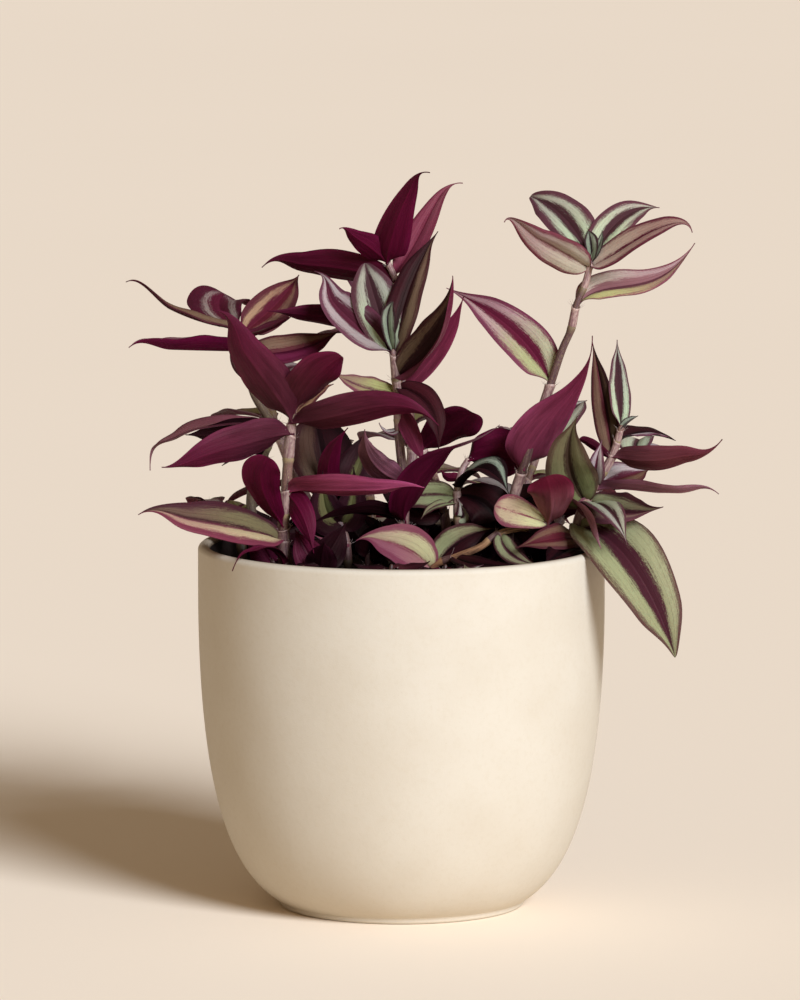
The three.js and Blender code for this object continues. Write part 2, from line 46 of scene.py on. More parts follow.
# Pot and soil, as in the solids
POT_HEIGHT = 130
RIM_RADIUS = 72.5
LIP_RADIUS = 2.1
INNER_RADIUS = RIM_RADIUS - 2 * LIP_RADIUS
SHOULDER_HEIGHT = 119
FOOT_RADIUS = 40
FOOT_EDGE = 1.6
FLOOR_THICKNESS = 6
SOIL_TOP = 118
SOIL_EDGE_DROP = 1.5
SEAT_GAP = 0.3
POT_SIDES = 192

# The middle points of the curves of the pot's wall, (radius, height)
BELLY = (63, 9)
WALL = (73, 45)
INNER_BELLY = (57, 14)

# The soil's surface, with its crumbs and pale specks
SOIL_SEED = 5
SOIL_SIDES = 150
SOIL_RINGS = 46
SURFACE_DROP = 0.7
SOIL_ROUGHNESS = 0.45
HIGHEST_CRUMB = 0.6
CRUMBS = 900
SPECKS = 90
GRAIN_LEVELS = [-0.75, -0.2, 0.4, 0.9]
GRAIN_SIDES = 7

# Soil stain and painted shade: its lowest and highest level on the inner wall, the share of dust and
# painted shade on the lip, and the heights over which painted shade near the soil fades out on the stems
STAIN_AND_SHADE_FROM = 100
STAIN_AND_SHADE_TO = 130.1
LIP_DUST_AND_SHADE = 0.55
SOIL_SHADE_FROM = SOIL_TOP + 4
SOIL_SHADE_TO = SOIL_TOP + 34

# Leaves: the outline is the solids' own, drawn out to a thread at the tip. Places along a leaf and across
# its half are shares, from 0 to 1.
FOLD_DEGREES = 18
BASE_FOLD_DEGREES = 72
TIP_FOLD_DEGREES = 26
WIDEST_AT = 0.34
BASE_FULLNESS = 0.55
LEAF_ROWS = 36
SPROUT_LEAF_ROWS = 22
HALF_COLUMNS = [0.0, 0.04, 0.1, 0.17, 0.25, 0.33, 0.42, 0.51, 0.6, 0.69, 0.78, 0.86, 0.93, 0.975, 1.0]
COLUMNS = np.array([-column for column in HALF_COLUMNS[:0:-1]] + HALF_COLUMNS)
TIP_THREAD = 0.22
BASE_END = 0.13
TIP_START = 0.72
BOW_START = 0.62
BLADE_THICKNESS = 0.42
MIDRIB_HEIGHT = 0.32
MIDRIB_GROOVE = 0.16
PLEAT_HEIGHT = 0.07
PLEATS = 2.6
HOLLOW = 0.85
UNDERSIDE_GRAIN = 40
# From this width on, a leaf has its midrib and pleats in full
FULL_SIZE = 12
# The leaf's base, as shares of the stem's radius: half its width, and how far it sinks into the stem
CLASP = 1.25
BASE_SINK = 0.85

# How leaves differ from one another: each value is drawn from its range
TWIST_DEGREES = (-5, 5)
LEAN_DEGREES = (-6, 6)
CROWN = (0.3, 0.42)
CURL = (0.02, 0.12)
WAVES = (1.6, 3.0)
WAVE_DEPTH = (0.035, 0.075)
LIGHTNESS = (0.9, 1.12)
UNEVENNESS = (0.96, 1.05)

# Factors on the palettes' colours, for each side of a leaf, that make up for the tones of the lights
LEAF_WARMTH = (1.04, 0.98, 0.88)
UNDER_WARMTH = (1.0, 0.98, 1.06)

# Stems and sprouts
FIRST_STEM_SEED = 100
FIRST_SPROUT_SEED = 300
SPROUT_RADIUS = 1.1
SPROUT_LEAF_WIDTH = 12
SPROUT_TURN_DEGREES = 130
STEM_SIDES = 20
STEM_TURNS = np.linspace(0, 2 * math.pi, STEM_SIDES, endpoint=False)
TIP_TAPER = 0.6
RING_STEP = 1.1
ROOT_DEPTHS = (5, 2.5)
JOINT_SWELL = 0.2
JOINT_WIDTH = 1.3
JOINT_TONE_WIDTH = 2.8
RIDGES = 5
RIDGE_HEIGHT = 0.02
LINE_STEPS = 400

# Sheaths and their hairs
SHEATH_SHARE = 0.62
LONGEST_SHEATH = 10.5
NARROWEST_SHEATHED = 7
CLOSEST_SHEATHS = 4
SHEATH_ROWS = 12
SHEATH_THICKNESS = 0.16
SHEATH_SLANT = 0.9
HAIR_RADII = (0.07, 0.055, 0.02)
HAIR_LENGTH = (1.0, 2.2)

# Light and camera
FLOOR_REACH = 14000
WORLD_COLOUR = (1.0, 0.79, 0.58, 1.0)
WORLD_STRENGTH = 0.26
KEY_COLOUR = (0.77, 0.852, 1.0)
KEY_STRENGTH = 5.25
KEY_SPREAD_DEGREES = 24
KEY_AROUND_DEGREES = 34
KEY_HEIGHT_DEGREES = 29
CAMERA_PLACE = (0, -2500, 463)
CAMERA_TILT_DEGREES = 7.24
CAMERA_LENS = 254.85
CAMERA_SENSOR = 36
CAMERA_SHIFT = -0.0015

# Each palette holds the colours of a leaf's upper side in sRGB: the middle band, the pale band near the
# base, the pale band near the tip, and the margin.
UPPER = {
    "mint": [(62, 36, 42), (160, 170, 144), (152, 150, 138), (80, 46, 56)],
    "green": [(76, 22, 40), (146, 146, 98), (138, 108, 112), (92, 48, 62)],
    "silver": [(78, 32, 48), (144, 134, 134), (160, 146, 148), (90, 50, 66)],
    "lilac": [(84, 26, 48), (132, 104, 112), (142, 112, 120), (92, 44, 64)],
    "bronze": [(70, 26, 34), (114, 92, 76), (122, 94, 84), (76, 38, 46)],
    "olive": [(36, 12, 16), (80, 72, 54), (84, 66, 56), (52, 26, 30)],
    "moss": [(54, 40, 32), (104, 106, 72), (98, 92, 68), (74, 56, 46)],
    "river": [(60, 26, 36), (136, 138, 106), (130, 130, 100), (76, 50, 48)],
    # Near black: dark leaves darkened further as painted shade, deep in the foliage and low over the soil
    "dark": [(14, 3, 7), (42, 12, 19), (34, 8, 15), (24, 5, 11)],
    "plum": [(60, 8, 30), (92, 30, 56), (82, 16, 44), (70, 12, 36)],
    "mauve": [(122, 76, 82), (116, 64, 76), (124, 80, 86), (88, 42, 56)],
    "young": [(56, 44, 48), (124, 134, 116), (128, 134, 120), (50, 30, 36)],
    "sand": [(92, 52, 58), (142, 118, 106), (132, 106, 96), (100, 60, 70)],
    "shell": [(84, 24, 44), (182, 158, 146), (164, 128, 122), (100, 42, 58)],
    "pewter": [(70, 16, 36), (128, 116, 112), (122, 104, 104), (62, 16, 34)],
    "tan": [(78, 22, 38), (146, 118, 92), (128, 96, 78), (78, 34, 42)],
    "brownish": [(78, 24, 36), (104, 80, 66), (98, 70, 58), (70, 30, 38)],
    "umber": [(34, 12, 16), (66, 52, 38), (60, 42, 34), (42, 17, 21)],
    "wine": [(34, 8, 14), (58, 20, 28), (46, 14, 22), (40, 10, 18)],
    "sage": [(62, 30, 40), (124, 128, 96), (118, 112, 88), (58, 30, 34)],
    "cream": [(96, 40, 58), (170, 152, 122), (154, 122, 110), (100, 43, 60)],
    "lime": [(90, 50, 60), (164, 164, 110), (138, 114, 96), (112, 62, 74)],
    "blush": [(110, 52, 68), (180, 176, 134), (160, 142, 118), (112, 58, 72)],
    "rosy": [(100, 44, 62), (138, 94, 98), (124, 74, 88), (106, 48, 68)],
    "crescent": [(20, 6, 10), (152, 160, 140), (118, 128, 112), (22, 6, 11)],
    "dusk": [(50, 26, 30), (98, 92, 66), (84, 66, 56), (58, 28, 36)],
    "fawn": [(118, 82, 84), (168, 158, 142), (150, 126, 124), (106, 52, 64)],
    "heather": [(84, 22, 46), (158, 152, 128), (148, 112, 122), (96, 40, 62)],
    "leek": [(80, 22, 42), (146, 147, 108), (156, 128, 130), (104, 52, 72)],
    "smoke": [(78, 32, 48), (62, 26, 38), (158, 146, 146), (84, 42, 58)],
    "rosewood": [(88, 26, 46), (104, 42, 62), (112, 60, 72), (92, 34, 52)],
    "hazel": [(44, 18, 22), (98, 80, 64), (104, 82, 70), (60, 28, 32)],
    "spine": [(92, 90, 58), (42, 18, 24), (46, 18, 28), (36, 10, 20)],
}

# A leaf's underside, near its base and near its tip
UNDER = {
    "burgundy": [(72, 9, 30), (68, 8, 30)],
    "brown": [(79, 32, 41), (77, 14, 36)],
    "bright": [(84, 8, 38), (80, 8, 37)],
    "rose": [(108, 42, 58), (104, 32, 54)],
    # Near black undersides: painted shade, for leaves deep in the foliage and low over the soil
    "dark": [(24, 4, 8), (32, 5, 12)],
    "mauve": [(118, 70, 76), (130, 86, 88)],
    "bloom": [(144, 62, 84), (146, 62, 88)],
    "russet": [(102, 54, 56), (98, 42, 48)],
    "celery": [(84, 78, 66), (92, 88, 74)],
    "petal": [(150, 92, 92), (84, 18, 34)],
}

# A stem's bark, and its tone at the joints
BARK = {
    "brown": [(124, 88, 78), (162, 142, 96)],
    "pink": [(138, 100, 96), (162, 146, 102)],
    "rust": [(152, 118, 86), (174, 146, 106)],
    "olive": [(98, 80, 62), (140, 130, 90)],
    "amber": [(230, 182, 128), (236, 196, 136)],
    "taupe": [(94, 64, 60), (130, 112, 78)],
}


def leaf(
    at, rib, wide, upper="silver", under="burgundy", face=(0, 0, 1), fold=FOLD_DEGREES, crook=(0, 0, 0),
    blunt=0.0, taper=1.0, middle=0.16, margin=0.74, tip=0.7, cup=None,
):
    """One leaf. at is how far along the stem it springs, counted in points of the stem's path, and rib holds
    the points of its rib. upper is one palette, or two for its two halves. crook is how far the rib bows out
    shortly before the tip. blunt rounds the tip and taper slims it. The dark middle band reaches to middle
    and the margin starts at margin, as shares of the half width, and tip is how much of the margin's colour
    the tip takes. cup is 1 for a trough and 0 for two crowned halves."""
    if cup is None:
        cup = 0.85 if face[1] > 0.2 else 0.15
    return SimpleNamespace(
        at=at, rib=rib, wide=wide, upper=(upper, upper) if isinstance(upper, str) else upper, under=under,
        face=np.array(face, float), fold=math.radians(fold), crook=np.array(crook, float), blunt=blunt,
        taper=taper, stripes=(middle, margin, tip), cup=cup,
    )


def leafy_stem(name, radius, root, bark, path, *leaves, leaf_rows=LEAF_ROWS):
    """A stem that leaves the soil at root, with its leaves."""
    return SimpleNamespace(
        name=name, radius=radius, bark=bark, leaves=leaves, leaf_rows=leaf_rows, reaches=len(path),
        points=np.array([(*root, SOIL_TOP), *path], float),
        root=np.array([(*root, SOIL_TOP - depth) for depth in ROOT_DEPTHS], float),
    )


STEMS = [
    leafy_stem(
        "stem_left_front", 2.2, (-40, -14), "brown",
        [(-42, -14, 133), (-41, -16, 147), (-40, -17, 162), (-39, -18, 173), (-38, -18, 180)],
        leaf(4.5, [(-51, -30, 196), (-66, -36, 217)], 18, "bronze", "brown", (0.3, 1, 0.2), crook=(2, 0, 2),
             cup=1),
        leaf(5, [(-31, -30, 192), (-21, -38, 201)], 16, "bronze", "brown", (-0.2, 1, 0.3), blunt=0.4, cup=1),
        leaf(4.4, [(-21, -33, 180), (-3, -41, 184), (13, -43, 177)], 14, "bronze", "brown", (0, 1, 0.35),
             cup=1),
        leaf(3.9, [(-61, -34, 168), (-84, -40, 162)], 16, "bronze", "brown", (0, 1, 0.4), crook=(0, 0, -1),
             cup=1),
        leaf(1.4, [(-49, -32, 154), (-47, -42, 166)], 11, "plum", "bright", (0, 1, 0.6), blunt=0.85, cup=1),
        leaf(2.2, [(-35, -23, 143), (-31, -27, 130)], 10, "plum", "bright", (0.2, 1, 0.2)),
        leaf(2.3, [(-16, -32, 153), (8, -34, 154)], 15, "bronze", "bloom", (0, 0.75, 0.7), crook=(0, 0, 1)),
        leaf(1, [(-67, -38, 142), (-92, -46, 146)], 18, ("dusk", "cream"), "rose", (0, -1.3, 1), fold=20,
             crook=(0, 0, 2), middle=0.1, margin=0.6),
        leaf(0.4, [(-49, -36, 133), (-59, -52, 127)], 5, "plum", "burgundy", (0, -0.3, 1), crook=(0, 0, 2)),
        leaf(4.7, [(-31, -12, 184), (-24, -10, 188)], 8, "tan", "brown", (0, -0.5, 1)),
    ),
    leafy_stem(
        "stem_left_back", 1.9, (-50, 22), "olive",
        [(-54, 22, 143), (-50, 20, 157), (-47, 16, 170), (-53, 12, 183), (-56, 10, 198), (-58, 10, 206)],
        leaf(6, [(-77, -4, 212), (-97, -18, 225)], 13, "brownish", "burgundy", (0.2, -0.1, 1),
             crook=(0, 0, 3)),
        leaf(6, [(-65, 24, 211), (-64, 34, 216)], 17, "pewter", "burgundy", (0, -1, 0.6), blunt=1,
             middle=0.3, margin=0.56),
        leaf(5.7, [(-45, 24, 213), (-37, 40, 222)], 15, ("brownish", "tan"), "burgundy", (0.2, -1, 0.4),
             middle=0.3, margin=0.62),
        leaf(5.5, [(-46, -2, 207), (-39, -10, 212)], 12, ("sage", "plum"), "burgundy", (0, -0.4, 1)),
        leaf(5, [(-77, -6, 200), (-96, -20, 202)], 15, "sand", "bright", (0, 0.1, 1), fold=42,
             crook=(0, 0, 2), cup=0.8),
        leaf(4.9, [(-37, 14, 198), (-22, 20, 204)], 14, ("plum", "brownish"), "burgundy", (0, -0.7, 0.7),
             middle=0.2),
        leaf(3, [(-75, 10, 169), (-90, 16, 154)], 13, "mauve", "mauve", (0, -0.15, 1), crook=(-1, 0, 3)),
        leaf(2.9, [(-63, 8, 168), (-77, 6, 168)], 12, "dark", "dark", (0, 1, 0.5)),
        leaf(2.2, [(-56, 12, 160), (-64, 6, 157)], 12, "dark", "dark", (0, 0.6, 1)),
    ),
    leafy_stem(
        "stem_centre_front", 1.9, (1, -2), "pink",
        [
            (1, -2, 138), (1, -2, 152), (0, -2, 160), (-1, -3, 171), (-1, -3, 182), (-2, -3, 189),
            (-3, -4, 199),
        ],
        leaf(7, [(-21, 4, 212), (-31, 12, 226)], 17, ("smoke", "silver"), "burgundy", (0.3, -1, 0.4),
             fold=25, crook=(2, 0, 1), middle=0.3),
        leaf(6.9, [(-9, 5, 215), (-13, 11, 229)], 17, "mint", "burgundy", (0, -1, 0.3), blunt=0.35,
             middle=0.26),
        leaf(7, [(-5, -5, 210), (-3, -7, 217)], 7, "young", "celery", (0, -1, 0.2), fold=50, blunt=0.4),
        leaf(6.8, [(3, 4, 221), (13, 14, 240)], 13, ("hazel", "wine"), "dark", (-0.4, -1, 0.2), middle=0.25),
        leaf(6.1, [(14, -16, 205), (18, -26, 228)], 21, ("rosewood", "hazel"), "rose", (-0.94, -0.33, 0.1),
             fold=34, middle=0.44),
        leaf(5.6, [(10, -14, 180), (13, -19, 165)], 11, "wine", "dark", (0.3, -1, 0.5)),
        leaf(2, [(-10, -10, 160), (-13, -20, 173)], 12, "lilac", "mauve", (0.3, 1, 0.3)),
        leaf(5.2, [(-14, -2, 186), (-24, 0, 191)], 11, "lime", "burgundy", (0, -0.5, 1), middle=0.1),
        leaf(4, [(-5, -6, 170), (-8, -8, 174)], 5, "silver", "burgundy", (0, -0.5, 1)),
        leaf(1, [(3, -12, 150), (11, -18, 161), (21, -24, 168)], 13, "bronze", "burgundy", (-0.3, 1, 0.3)),
        leaf(1, [(-14, -6, 142), (-33, -10, 138)], 12, "dark", "dark", (0, 0.5, 0.9)),
        leaf(4.7, [(4, -9, 169), (8, -13, 160)], 7, "plum", "rose", (0, 1, 0.2)),
    ),
    leafy_stem(
        "stem_centre_back", 1.6, (18, 14), "brown",
        [
            (14, 12, 145), (8, 8, 161), (5, 8, 166), (2, 10, 178), (-1, 14, 198), (-1, 16, 219),
            (-5, 16, 229),
        ],
        leaf(6.3, [(-28, 22, 227), (-50, 26, 226)], 14, "bronze", "burgundy", (0, 1, 0.5), crook=(0, 0, 2)),
        leaf(5.4, [(-26, 14, 209.5), (-48, 10, 212)], 11, "olive", "burgundy", (0, 1, 0.6), cup=1),
        leaf(7, [(-3, 7, 240), (3, -2, 256), (10, -10, 263)], 13, "plum", "bright", (0.1, 1, 0),
             crook=(-1, 0, 0), taper=1.6, cup=1),
        leaf(7, [(-14, 8, 237), (-22, 2, 242)], 10, "plum", "bright", (0, 1, 0.4), crook=(0, 0, 1),
             taper=1.3),
        leaf(6.5, [(7, 24, 239), (14, 34, 251), (22, 42, 255)], 10, "rosewood", "mauve", (-0.3, -1, 0.2),
             taper=1.7, middle=0.1),
        leaf(4.3, [(14, 6, 200), (22, 0, 218)], 8, "mauve", "rose", (-0.2, 1, 0.2)),
        leaf(2.3, [(16, 0, 170), (25, -10, 178)], 14, "dark", "burgundy", (-0.2, 1, 0.3), blunt=0.9, cup=1),
        leaf(2, [(23, 4, 165), (35, 3, 172)], 5, "mauve", "mauve"),
        leaf(0.8, [(3, 13, 142), (-11, 16, 152)], 13, "dark", "dark", (0, -1, 0.4)),
    ),
    leafy_stem(
        "stem_right_tall", 1.7, (38, -4), "taupe",
        [
            (39, -4, 142), (41, -5, 151), (43, -6, 157), (51, -6, 182), (53, -6, 188), (57, -6, 200),
            (60, -6, 207), (62, -6, 216), (65, -5, 223), (67, -4, 231),
        ],
        leaf(5, [(39, 4, 206), (16, 12, 220)], 18, ("heather", "leek"), "burgundy", (0.3, -1, 0.5),
             middle=0.27),
        leaf(8, [(75, 4, 221), (90, 14, 223), (105, 24, 235)], 14, ("lime", "fawn"), "burgundy",
             (-0.2, -1, 0.7), middle=0.32, margin=0.84),
        leaf(9.7, [(52, -14, 238), (36, -28, 247)], 14, "fawn", "mauve", (-0.2, -1, -0.2), crook=(-1, 0, 3),
             middle=0.08, cup=0),
        leaf(10, [(58, 8, 245), (46, 20, 252)], 17, "mint", "mauve", (0.2, -1, 0.4), blunt=0.3, middle=0.24,
             margin=0.64),
        leaf(10, [(78, 8, 245), (92, 20, 248)], 13, "mint", "burgundy", (0, -1, 0.5), middle=0.28,
             margin=0.66),
        leaf(9.8, [(78, -10, 236), (91, -18, 244), (102, -24, 243)], 12, "shell", "burgundy",
             (0, -0.7, 0.7), crook=(1, 0, 1), middle=0.09),
        leaf(10, [(67, -5, 237), (66, -6, 242)], 6, "young", "celery", (0, -1, 0.2), fold=50, blunt=0.5),
        leaf(10, [(70, -4, 237), (71, -3, 242)], 4.5, "young", "celery", (0, -1, 0.2), fold=50),
        leaf(3, [(51, -9, 173), (62, -15, 188), (67, -28, 207)], 17, "lilac", "rose", (-0.3, 1, 0.2),
             taper=2, cup=1),
        leaf(1.4, [(47, 2, 146), (56, 6, 153)], 12, "dark", "dark", (0, -1, 0.3)),
    ),
    leafy_stem(
        "stem_right_low", 1.7, (60, -6), "brown",
        [(62, -6, 130), (63, -5, 139), (69, -4, 151), (75, -4, 162), (78, -4, 172)],
        leaf(4, [(72, 4, 181), (68, 10, 201)], 10, ("umber", "brownish"), "burgundy", (-0.3, -1, 0),
             middle=0.2),
        leaf(5, [(77, 6, 187), (77, 16, 201)], 9, "mint", "burgundy", (0.3, -1, 0), middle=0.36),
        leaf(2.5, [(59, -16, 161), (62, -22, 178)], 19, "moss", "brown", (-0.1, -1, 0.25)),
        leaf(3, [(69, -10, 159), (71, -10, 168)], 7, "silver", "burgundy", (0, -1, 0.2)),
        leaf(3.9, [(66, -6, 167), (63, -8, 168)], 4, "plum", "burgundy", (0, 1, 0.5)),
        leaf(4.6, [(88, 8, 168), (98, 14, 165)], 13, ("silver", "dark"), "dark", (0, -0.4, 1)),
        leaf(4.9, [(81, -4, 174), (84, -4, 176)], 4, "young", "celery", (0, -0.5, 1), fold=50),
        leaf(4, [(93, -16, 162), (113, -24, 170)], 11, "plum", "russet", (0, 1, 0.4), crook=(0, 0, -2),
             cup=1),
        leaf(3, [(92, -12, 150), (112, -20, 150)], 11, "mauve", "mauve", (0, 0.5, 1), crook=(0, 0, 2)),
        leaf(3, [(80, 8, 153), (89, 18, 154)], 13, ("brownish", "silver"), "burgundy", (0, -1, 0.6),
             middle=0.2),
        leaf(2.6, [(77, -20, 143), (92, -32, 147)], 19, ("sand", "sage"), "bright", (0, -1, 0.8),
             middle=0.2, margin=0.6),
        leaf(2.4, [(73, -34, 146), (79, -43, 135)], 11, "mint", "burgundy", (0.3, -1, 0.6), middle=0.2),
        leaf(2.3, [(65, -24, 143), (70, -38, 133)], 11, "bronze", "mauve", (0.2, 1, 0.6)),
        leaf(1.7, [(77, -29, 131), (89, -38, 113), (96, -42, 95)], 26, "river", "burgundy", (0.35, -1, 0.4),
             blunt=0.12, middle=0.28, margin=0.84, tip=0.15),
        leaf(1.2, [(54, -19, 134), (40, -22, 131)], 12, "brownish", "burgundy", (0, -0.8, 0.6), middle=0.3),
        leaf(0.9, [(56, -24, 129), (50, -35, 127)], 11, "dark", "dark", (0, -0.8, 1)),
    ),
    leafy_stem(
        "stem_creeping", 1.4, (8, -6), "amber",
        [(12, -7, 123), (19, -9, 126), (28, -11, 130), (35, -11, 135), (46, -10, 137), (52, -8, 138)],
        leaf(1, [(21, -7, 132), (33, -7, 136)], 13, ("dark", "sage"), "dark", (0, -1, 0.35), middle=0.1),
        leaf(0.7, [(-1, -15, 131), (-16, -17, 133)], 18, ("blush", "rosy"), "rose", (0, -1, 0.5),
             crook=(0, 0, 1), middle=0.05, margin=0.62),
        leaf(6, [(42, -13, 142), (33, -14, 145)], 10, "blush", "burgundy", (0, -1, 0.5), blunt=0.9,
             middle=0.03, margin=0.8),
        leaf(6, [(53, -20, 148), (51, -25, 157)], 13, "plum", "petal", (0, 1, 0.1), blunt=0.9, cup=1),
        leaf(4, [(39, -18, 128), (49, -22, 125)], 8, "sage", "burgundy", (0, -1, 0.6)),
        leaf(2, [(27, -22, 125), (42, -30, 126)], 8, "dark", "dark", (0, -0.5, 1)),
    ),
    leafy_stem(
        "shoot_centre_low", 1.5, (20, 4), "brown",
        [(20, 4, 141), (20, 5, 149), (22, 7, 156), (24, 8, 159)],
        leaf(4, [(36, 6, 160), (51, 10, 161)], 21, "lilac", "bright", (0, 1, 0.4), blunt=0.4, cup=1),
        leaf(2, [(30, -5, 157), (38, -11, 149)], 17, ("dark", "crescent"), "dark", (0.2, -0.6, 1),
             middle=0.3, margin=0.7),
        leaf(1.7, [(29, 2, 144), (34, 0, 138)], 13, "dark", "dark", (0, -1, 0.4), blunt=0.9),
        leaf(1.6, [(6, 6, 146), (-7, 7, 142)], 11, "sage", "mauve", (0, -1, 0.6), middle=0.08),
        leaf(0.5, [(26, 1, 132), (33, -1, 134)], 11, "dark", "dark", (0, -1, 0.5)),
        leaf(1.3, [(12, 0, 143), (7, -4, 139)], 5, "sage", "burgundy", (0, -0.5, 1)),
        leaf(0.9, [(22, 2, 140), (20, 2, 146)], 6, "mint", "burgundy", (0, -1, 0.1)),
        leaf(2.6, [(17, 4, 153), (14, 2, 156)], 4, "plum", "burgundy", (0, 1, 0.4)),
    ),
    leafy_stem(
        "shoot_left_low", 1.5, (-19, 5), "olive",
        [(-20, 6, 130), (-23, 8, 139), (-24, 8, 144)],
        leaf(3, [(-28, 10, 157), (-31, 18, 172)], 19, ("dark", "umber"), "dark", (0.2, -1, 0.1), blunt=0.85),
        leaf(2.7, [(-26, 0, 158), (-19, -6, 172)], 9, "plum", "bright", (0.3, 1, 0)),
        leaf(1.8, [(-27, 2, 142), (-28, 0, 156)], 15, "spine", "dark", (0, -1, 0.2), middle=0.3),
        leaf(1.6, [(-18, 4, 143), (-17, 2, 157)], 13, "spine", "dark", (0.2, -1, 0.2), middle=0.2),
        leaf(1, [(-34, 4, 131), (-46, 2, 131)], 12, "dark", "dark", (0, -1, 0.8)),
        leaf(0.9, [(-24, 0, 129), (-32, -4, 134)], 6, "mauve", "mauve", (0, -0.5, 1)),
        leaf(2.6, [(-17, 8, 153), (-13, 11, 166)], 14, "spine", "dark", (0, -1, 0.1), blunt=0.5),
    ),
    leafy_stem(
        "stem_back_left", 1.8, (-28, 34), "brown",
        [(-32, 38, 135), (-40, 46, 152), (-46, 54, 167), (-48, 60, 178)],
        leaf(4, [(-56, 72, 186), (-62, 84, 192)], 15, "mint", "burgundy", (0, -0.6, 1)),
        leaf(4, [(-42, 70, 184), (-36, 86, 184)], 15, "silver", "burgundy", (0, -0.6, 1)),
        leaf(3, [(-60, 72, 168), (-72, 90, 162)], 16, ("green", "lilac"), "burgundy"),
        leaf(2.6, [(-26, 66, 158), (-18, 84, 156)], 15, "silver", "bright"),
        leaf(1.6, [(-52, 58, 142), (-66, 66, 134)], 15, "green", "burgundy"),
        leaf(0.9, [(-34, 56, 138), (-36, 78, 132)], 14, "mint", "burgundy"),
        leaf(0.5, [(-36, 24, 132), (-42, 14, 136)], 12, "dark", "dark"),
    ),
    leafy_stem(
        "stem_back_centre", 1.8, (2, 44), "pink",
        [(2, 46, 138), (4, 50, 158), (2, 56, 178), (-2, 60, 196), (-4, 62, 206)],
        leaf(5, [(-14, 72, 218), (-22, 82, 224)], 15, "silver", "burgundy", (0, -0.6, 1)),
        leaf(5, [(2, 76, 215), (3, 90, 216)], 13, "mint", "bright", (0, -0.6, 1)),
        leaf(4, [(-20, 72, 198), (-34, 84, 194)], 16, "green", "burgundy"),
        leaf(2.4, [(14, 72, 167), (22, 88, 160)], 16, ("lilac", "green"), "burgundy"),
        leaf(2, [(-8, 72, 160), (-16, 90, 154)], 16, "silver", "rose"),
        leaf(1.4, [(18, 64, 148), (30, 82, 142)], 15, "green", "burgundy"),
        leaf(0.6, [(4, 35, 136), (8, 27, 141)], 13, "dark", "dark"),
    ),
    leafy_stem(
        "stem_back_right", 1.7, (36, 30), "brown",
        [(40, 34, 134), (46, 42, 148), (50, 50, 158)],
        leaf(3, [(60, 64, 168), (68, 80, 172)], 15, "mint", "burgundy", (0, -0.6, 1)),
        leaf(3, [(42, 68, 162), (38, 84, 160)], 15, "silver", "burgundy"),
        leaf(2, [(58, 58, 146), (70, 74, 142)], 16, "green", "bright"),
        leaf(1.4, [(28, 58, 144), (22, 78, 140)], 15, ("silver", "green"), "burgundy"),
        leaf(0.8, [(50, 48, 136), (62, 62, 128)], 14, "lilac", "burgundy"),
        leaf(0.7, [(34, 22, 135), (30, 13, 138)], 12, "dark", "dark"),
    ),
    leafy_stem(
        "stem_trailing_back", 1.6, (-10, 52), "rust",
        [(-11, 60, 134), (-12, 73, 138), (-13, 83, 124), (-14, 84, 104), (-12, 83, 84), (-9, 81, 68)],
        leaf(2, [(-26, 78, 146), (-38, 82, 146)], 14, "silver", "burgundy"),
        leaf(3, [(0, 92, 122), (12, 98, 112)], 15, "green", "burgundy", (0, 1, 0.6)),
        leaf(4, [(-28, 92, 98), (-40, 96, 86)], 15, "mint", "burgundy", (0, 1, 0.6)),
        leaf(5, [(2, 90, 78), (12, 94, 64)], 14, ("green", "silver"), "bright", (0, 1, 0.5)),
        leaf(6, [(-16, 86, 56), (-20, 90, 42)], 13, "mint", "burgundy", (0, 1, 0.4)),
        leaf(6, [(-4, 86, 56), (0, 88, 46)], 9, "young", "celery", (0, 1, 0.4), fold=30),
    ),
    leafy_stem(
        "stem_side_right", 1.6, (50, 16), "brown",
        [(56, 20, 134), (68, 28, 146), (78, 36, 152), (84, 40, 156)],
        leaf(4, [(92, 48, 158), (98, 54, 156)], 10, "silver", "burgundy"),
        leaf(4, [(86, 56, 160), (90, 70, 156)], 14, "mint", "burgundy"),
        leaf(2, [(72, 42, 142), (80, 54, 132)], 13, ("green", "lilac"), "bright"),
        leaf(1.2, [(74, 14, 137), (88, 18, 122)], 14, "green", "burgundy", (0.6, 0, 1)),
    ),
    leafy_stem(
        "stem_side_left", 1.6, (-56, 6), "olive",
        [(-58, 12, 130), (-64, 26, 137), (-70, 40, 139)],
        leaf(3, [(-72, 54, 137), (-74, 68, 128)], 15, "mint", "burgundy"),
        leaf(2.4, [(-74, 40, 138), (-83, 46, 133)], 13, "silver", "burgundy"),
        leaf(1.8, [(-56, 42, 138), (-58, 60, 130)], 14, "green", "burgundy"),
        leaf(1.2, [(-68, 8, 138), (-76, 4, 141)], 11, "dark", "dark", (0, -1, 0.4)),
    ),
]


def sprout(x, y, turn, uppers, spread=10, top=140, face=(0, 1, 0.4)):
    """A short shoot close to the soil with a leaf for each colour, every second one turned round."""
    leaves = []
    for number, upper in enumerate(uppers):
        way = math.radians(turn + SPROUT_TURN_DEGREES * number)
        out, aside = spread * math.cos(way), 0.8 * spread * math.sin(way)
        tip = top - 0.13 * number * (top - SOIL_TOP)
        middle = SOIL_TOP + 0.6 * (tip - SOIL_TOP)
        rib = [(x + 0.5 * out, y + 0.5 * aside, middle), (x + out, y + aside, tip)]
        turned = (0.03 * out, -face[1] if number % 2 else face[1], face[2])
        leaves.append(leaf(1.6 - 0.5 * number, rib, SPROUT_LEAF_WIDTH, upper, "dark", turned, cup=0.6))
    path = [(x, y, SOIL_TOP + 4), (x + 0.5, y, SOIL_TOP + 8)]
    return leafy_stem(
        "sprout", SPROUT_RADIUS, (x, y), "brown", path, *leaves, leaf_rows=SPROUT_LEAF_ROWS,
    )


def low_sprout(x, y, turn, uppers):
    """A sprout that spreads over the soil, lower than the pot's rim."""
    return sprout(x, y, turn, uppers, spread=15, top=127, face=(0, 0, 1))


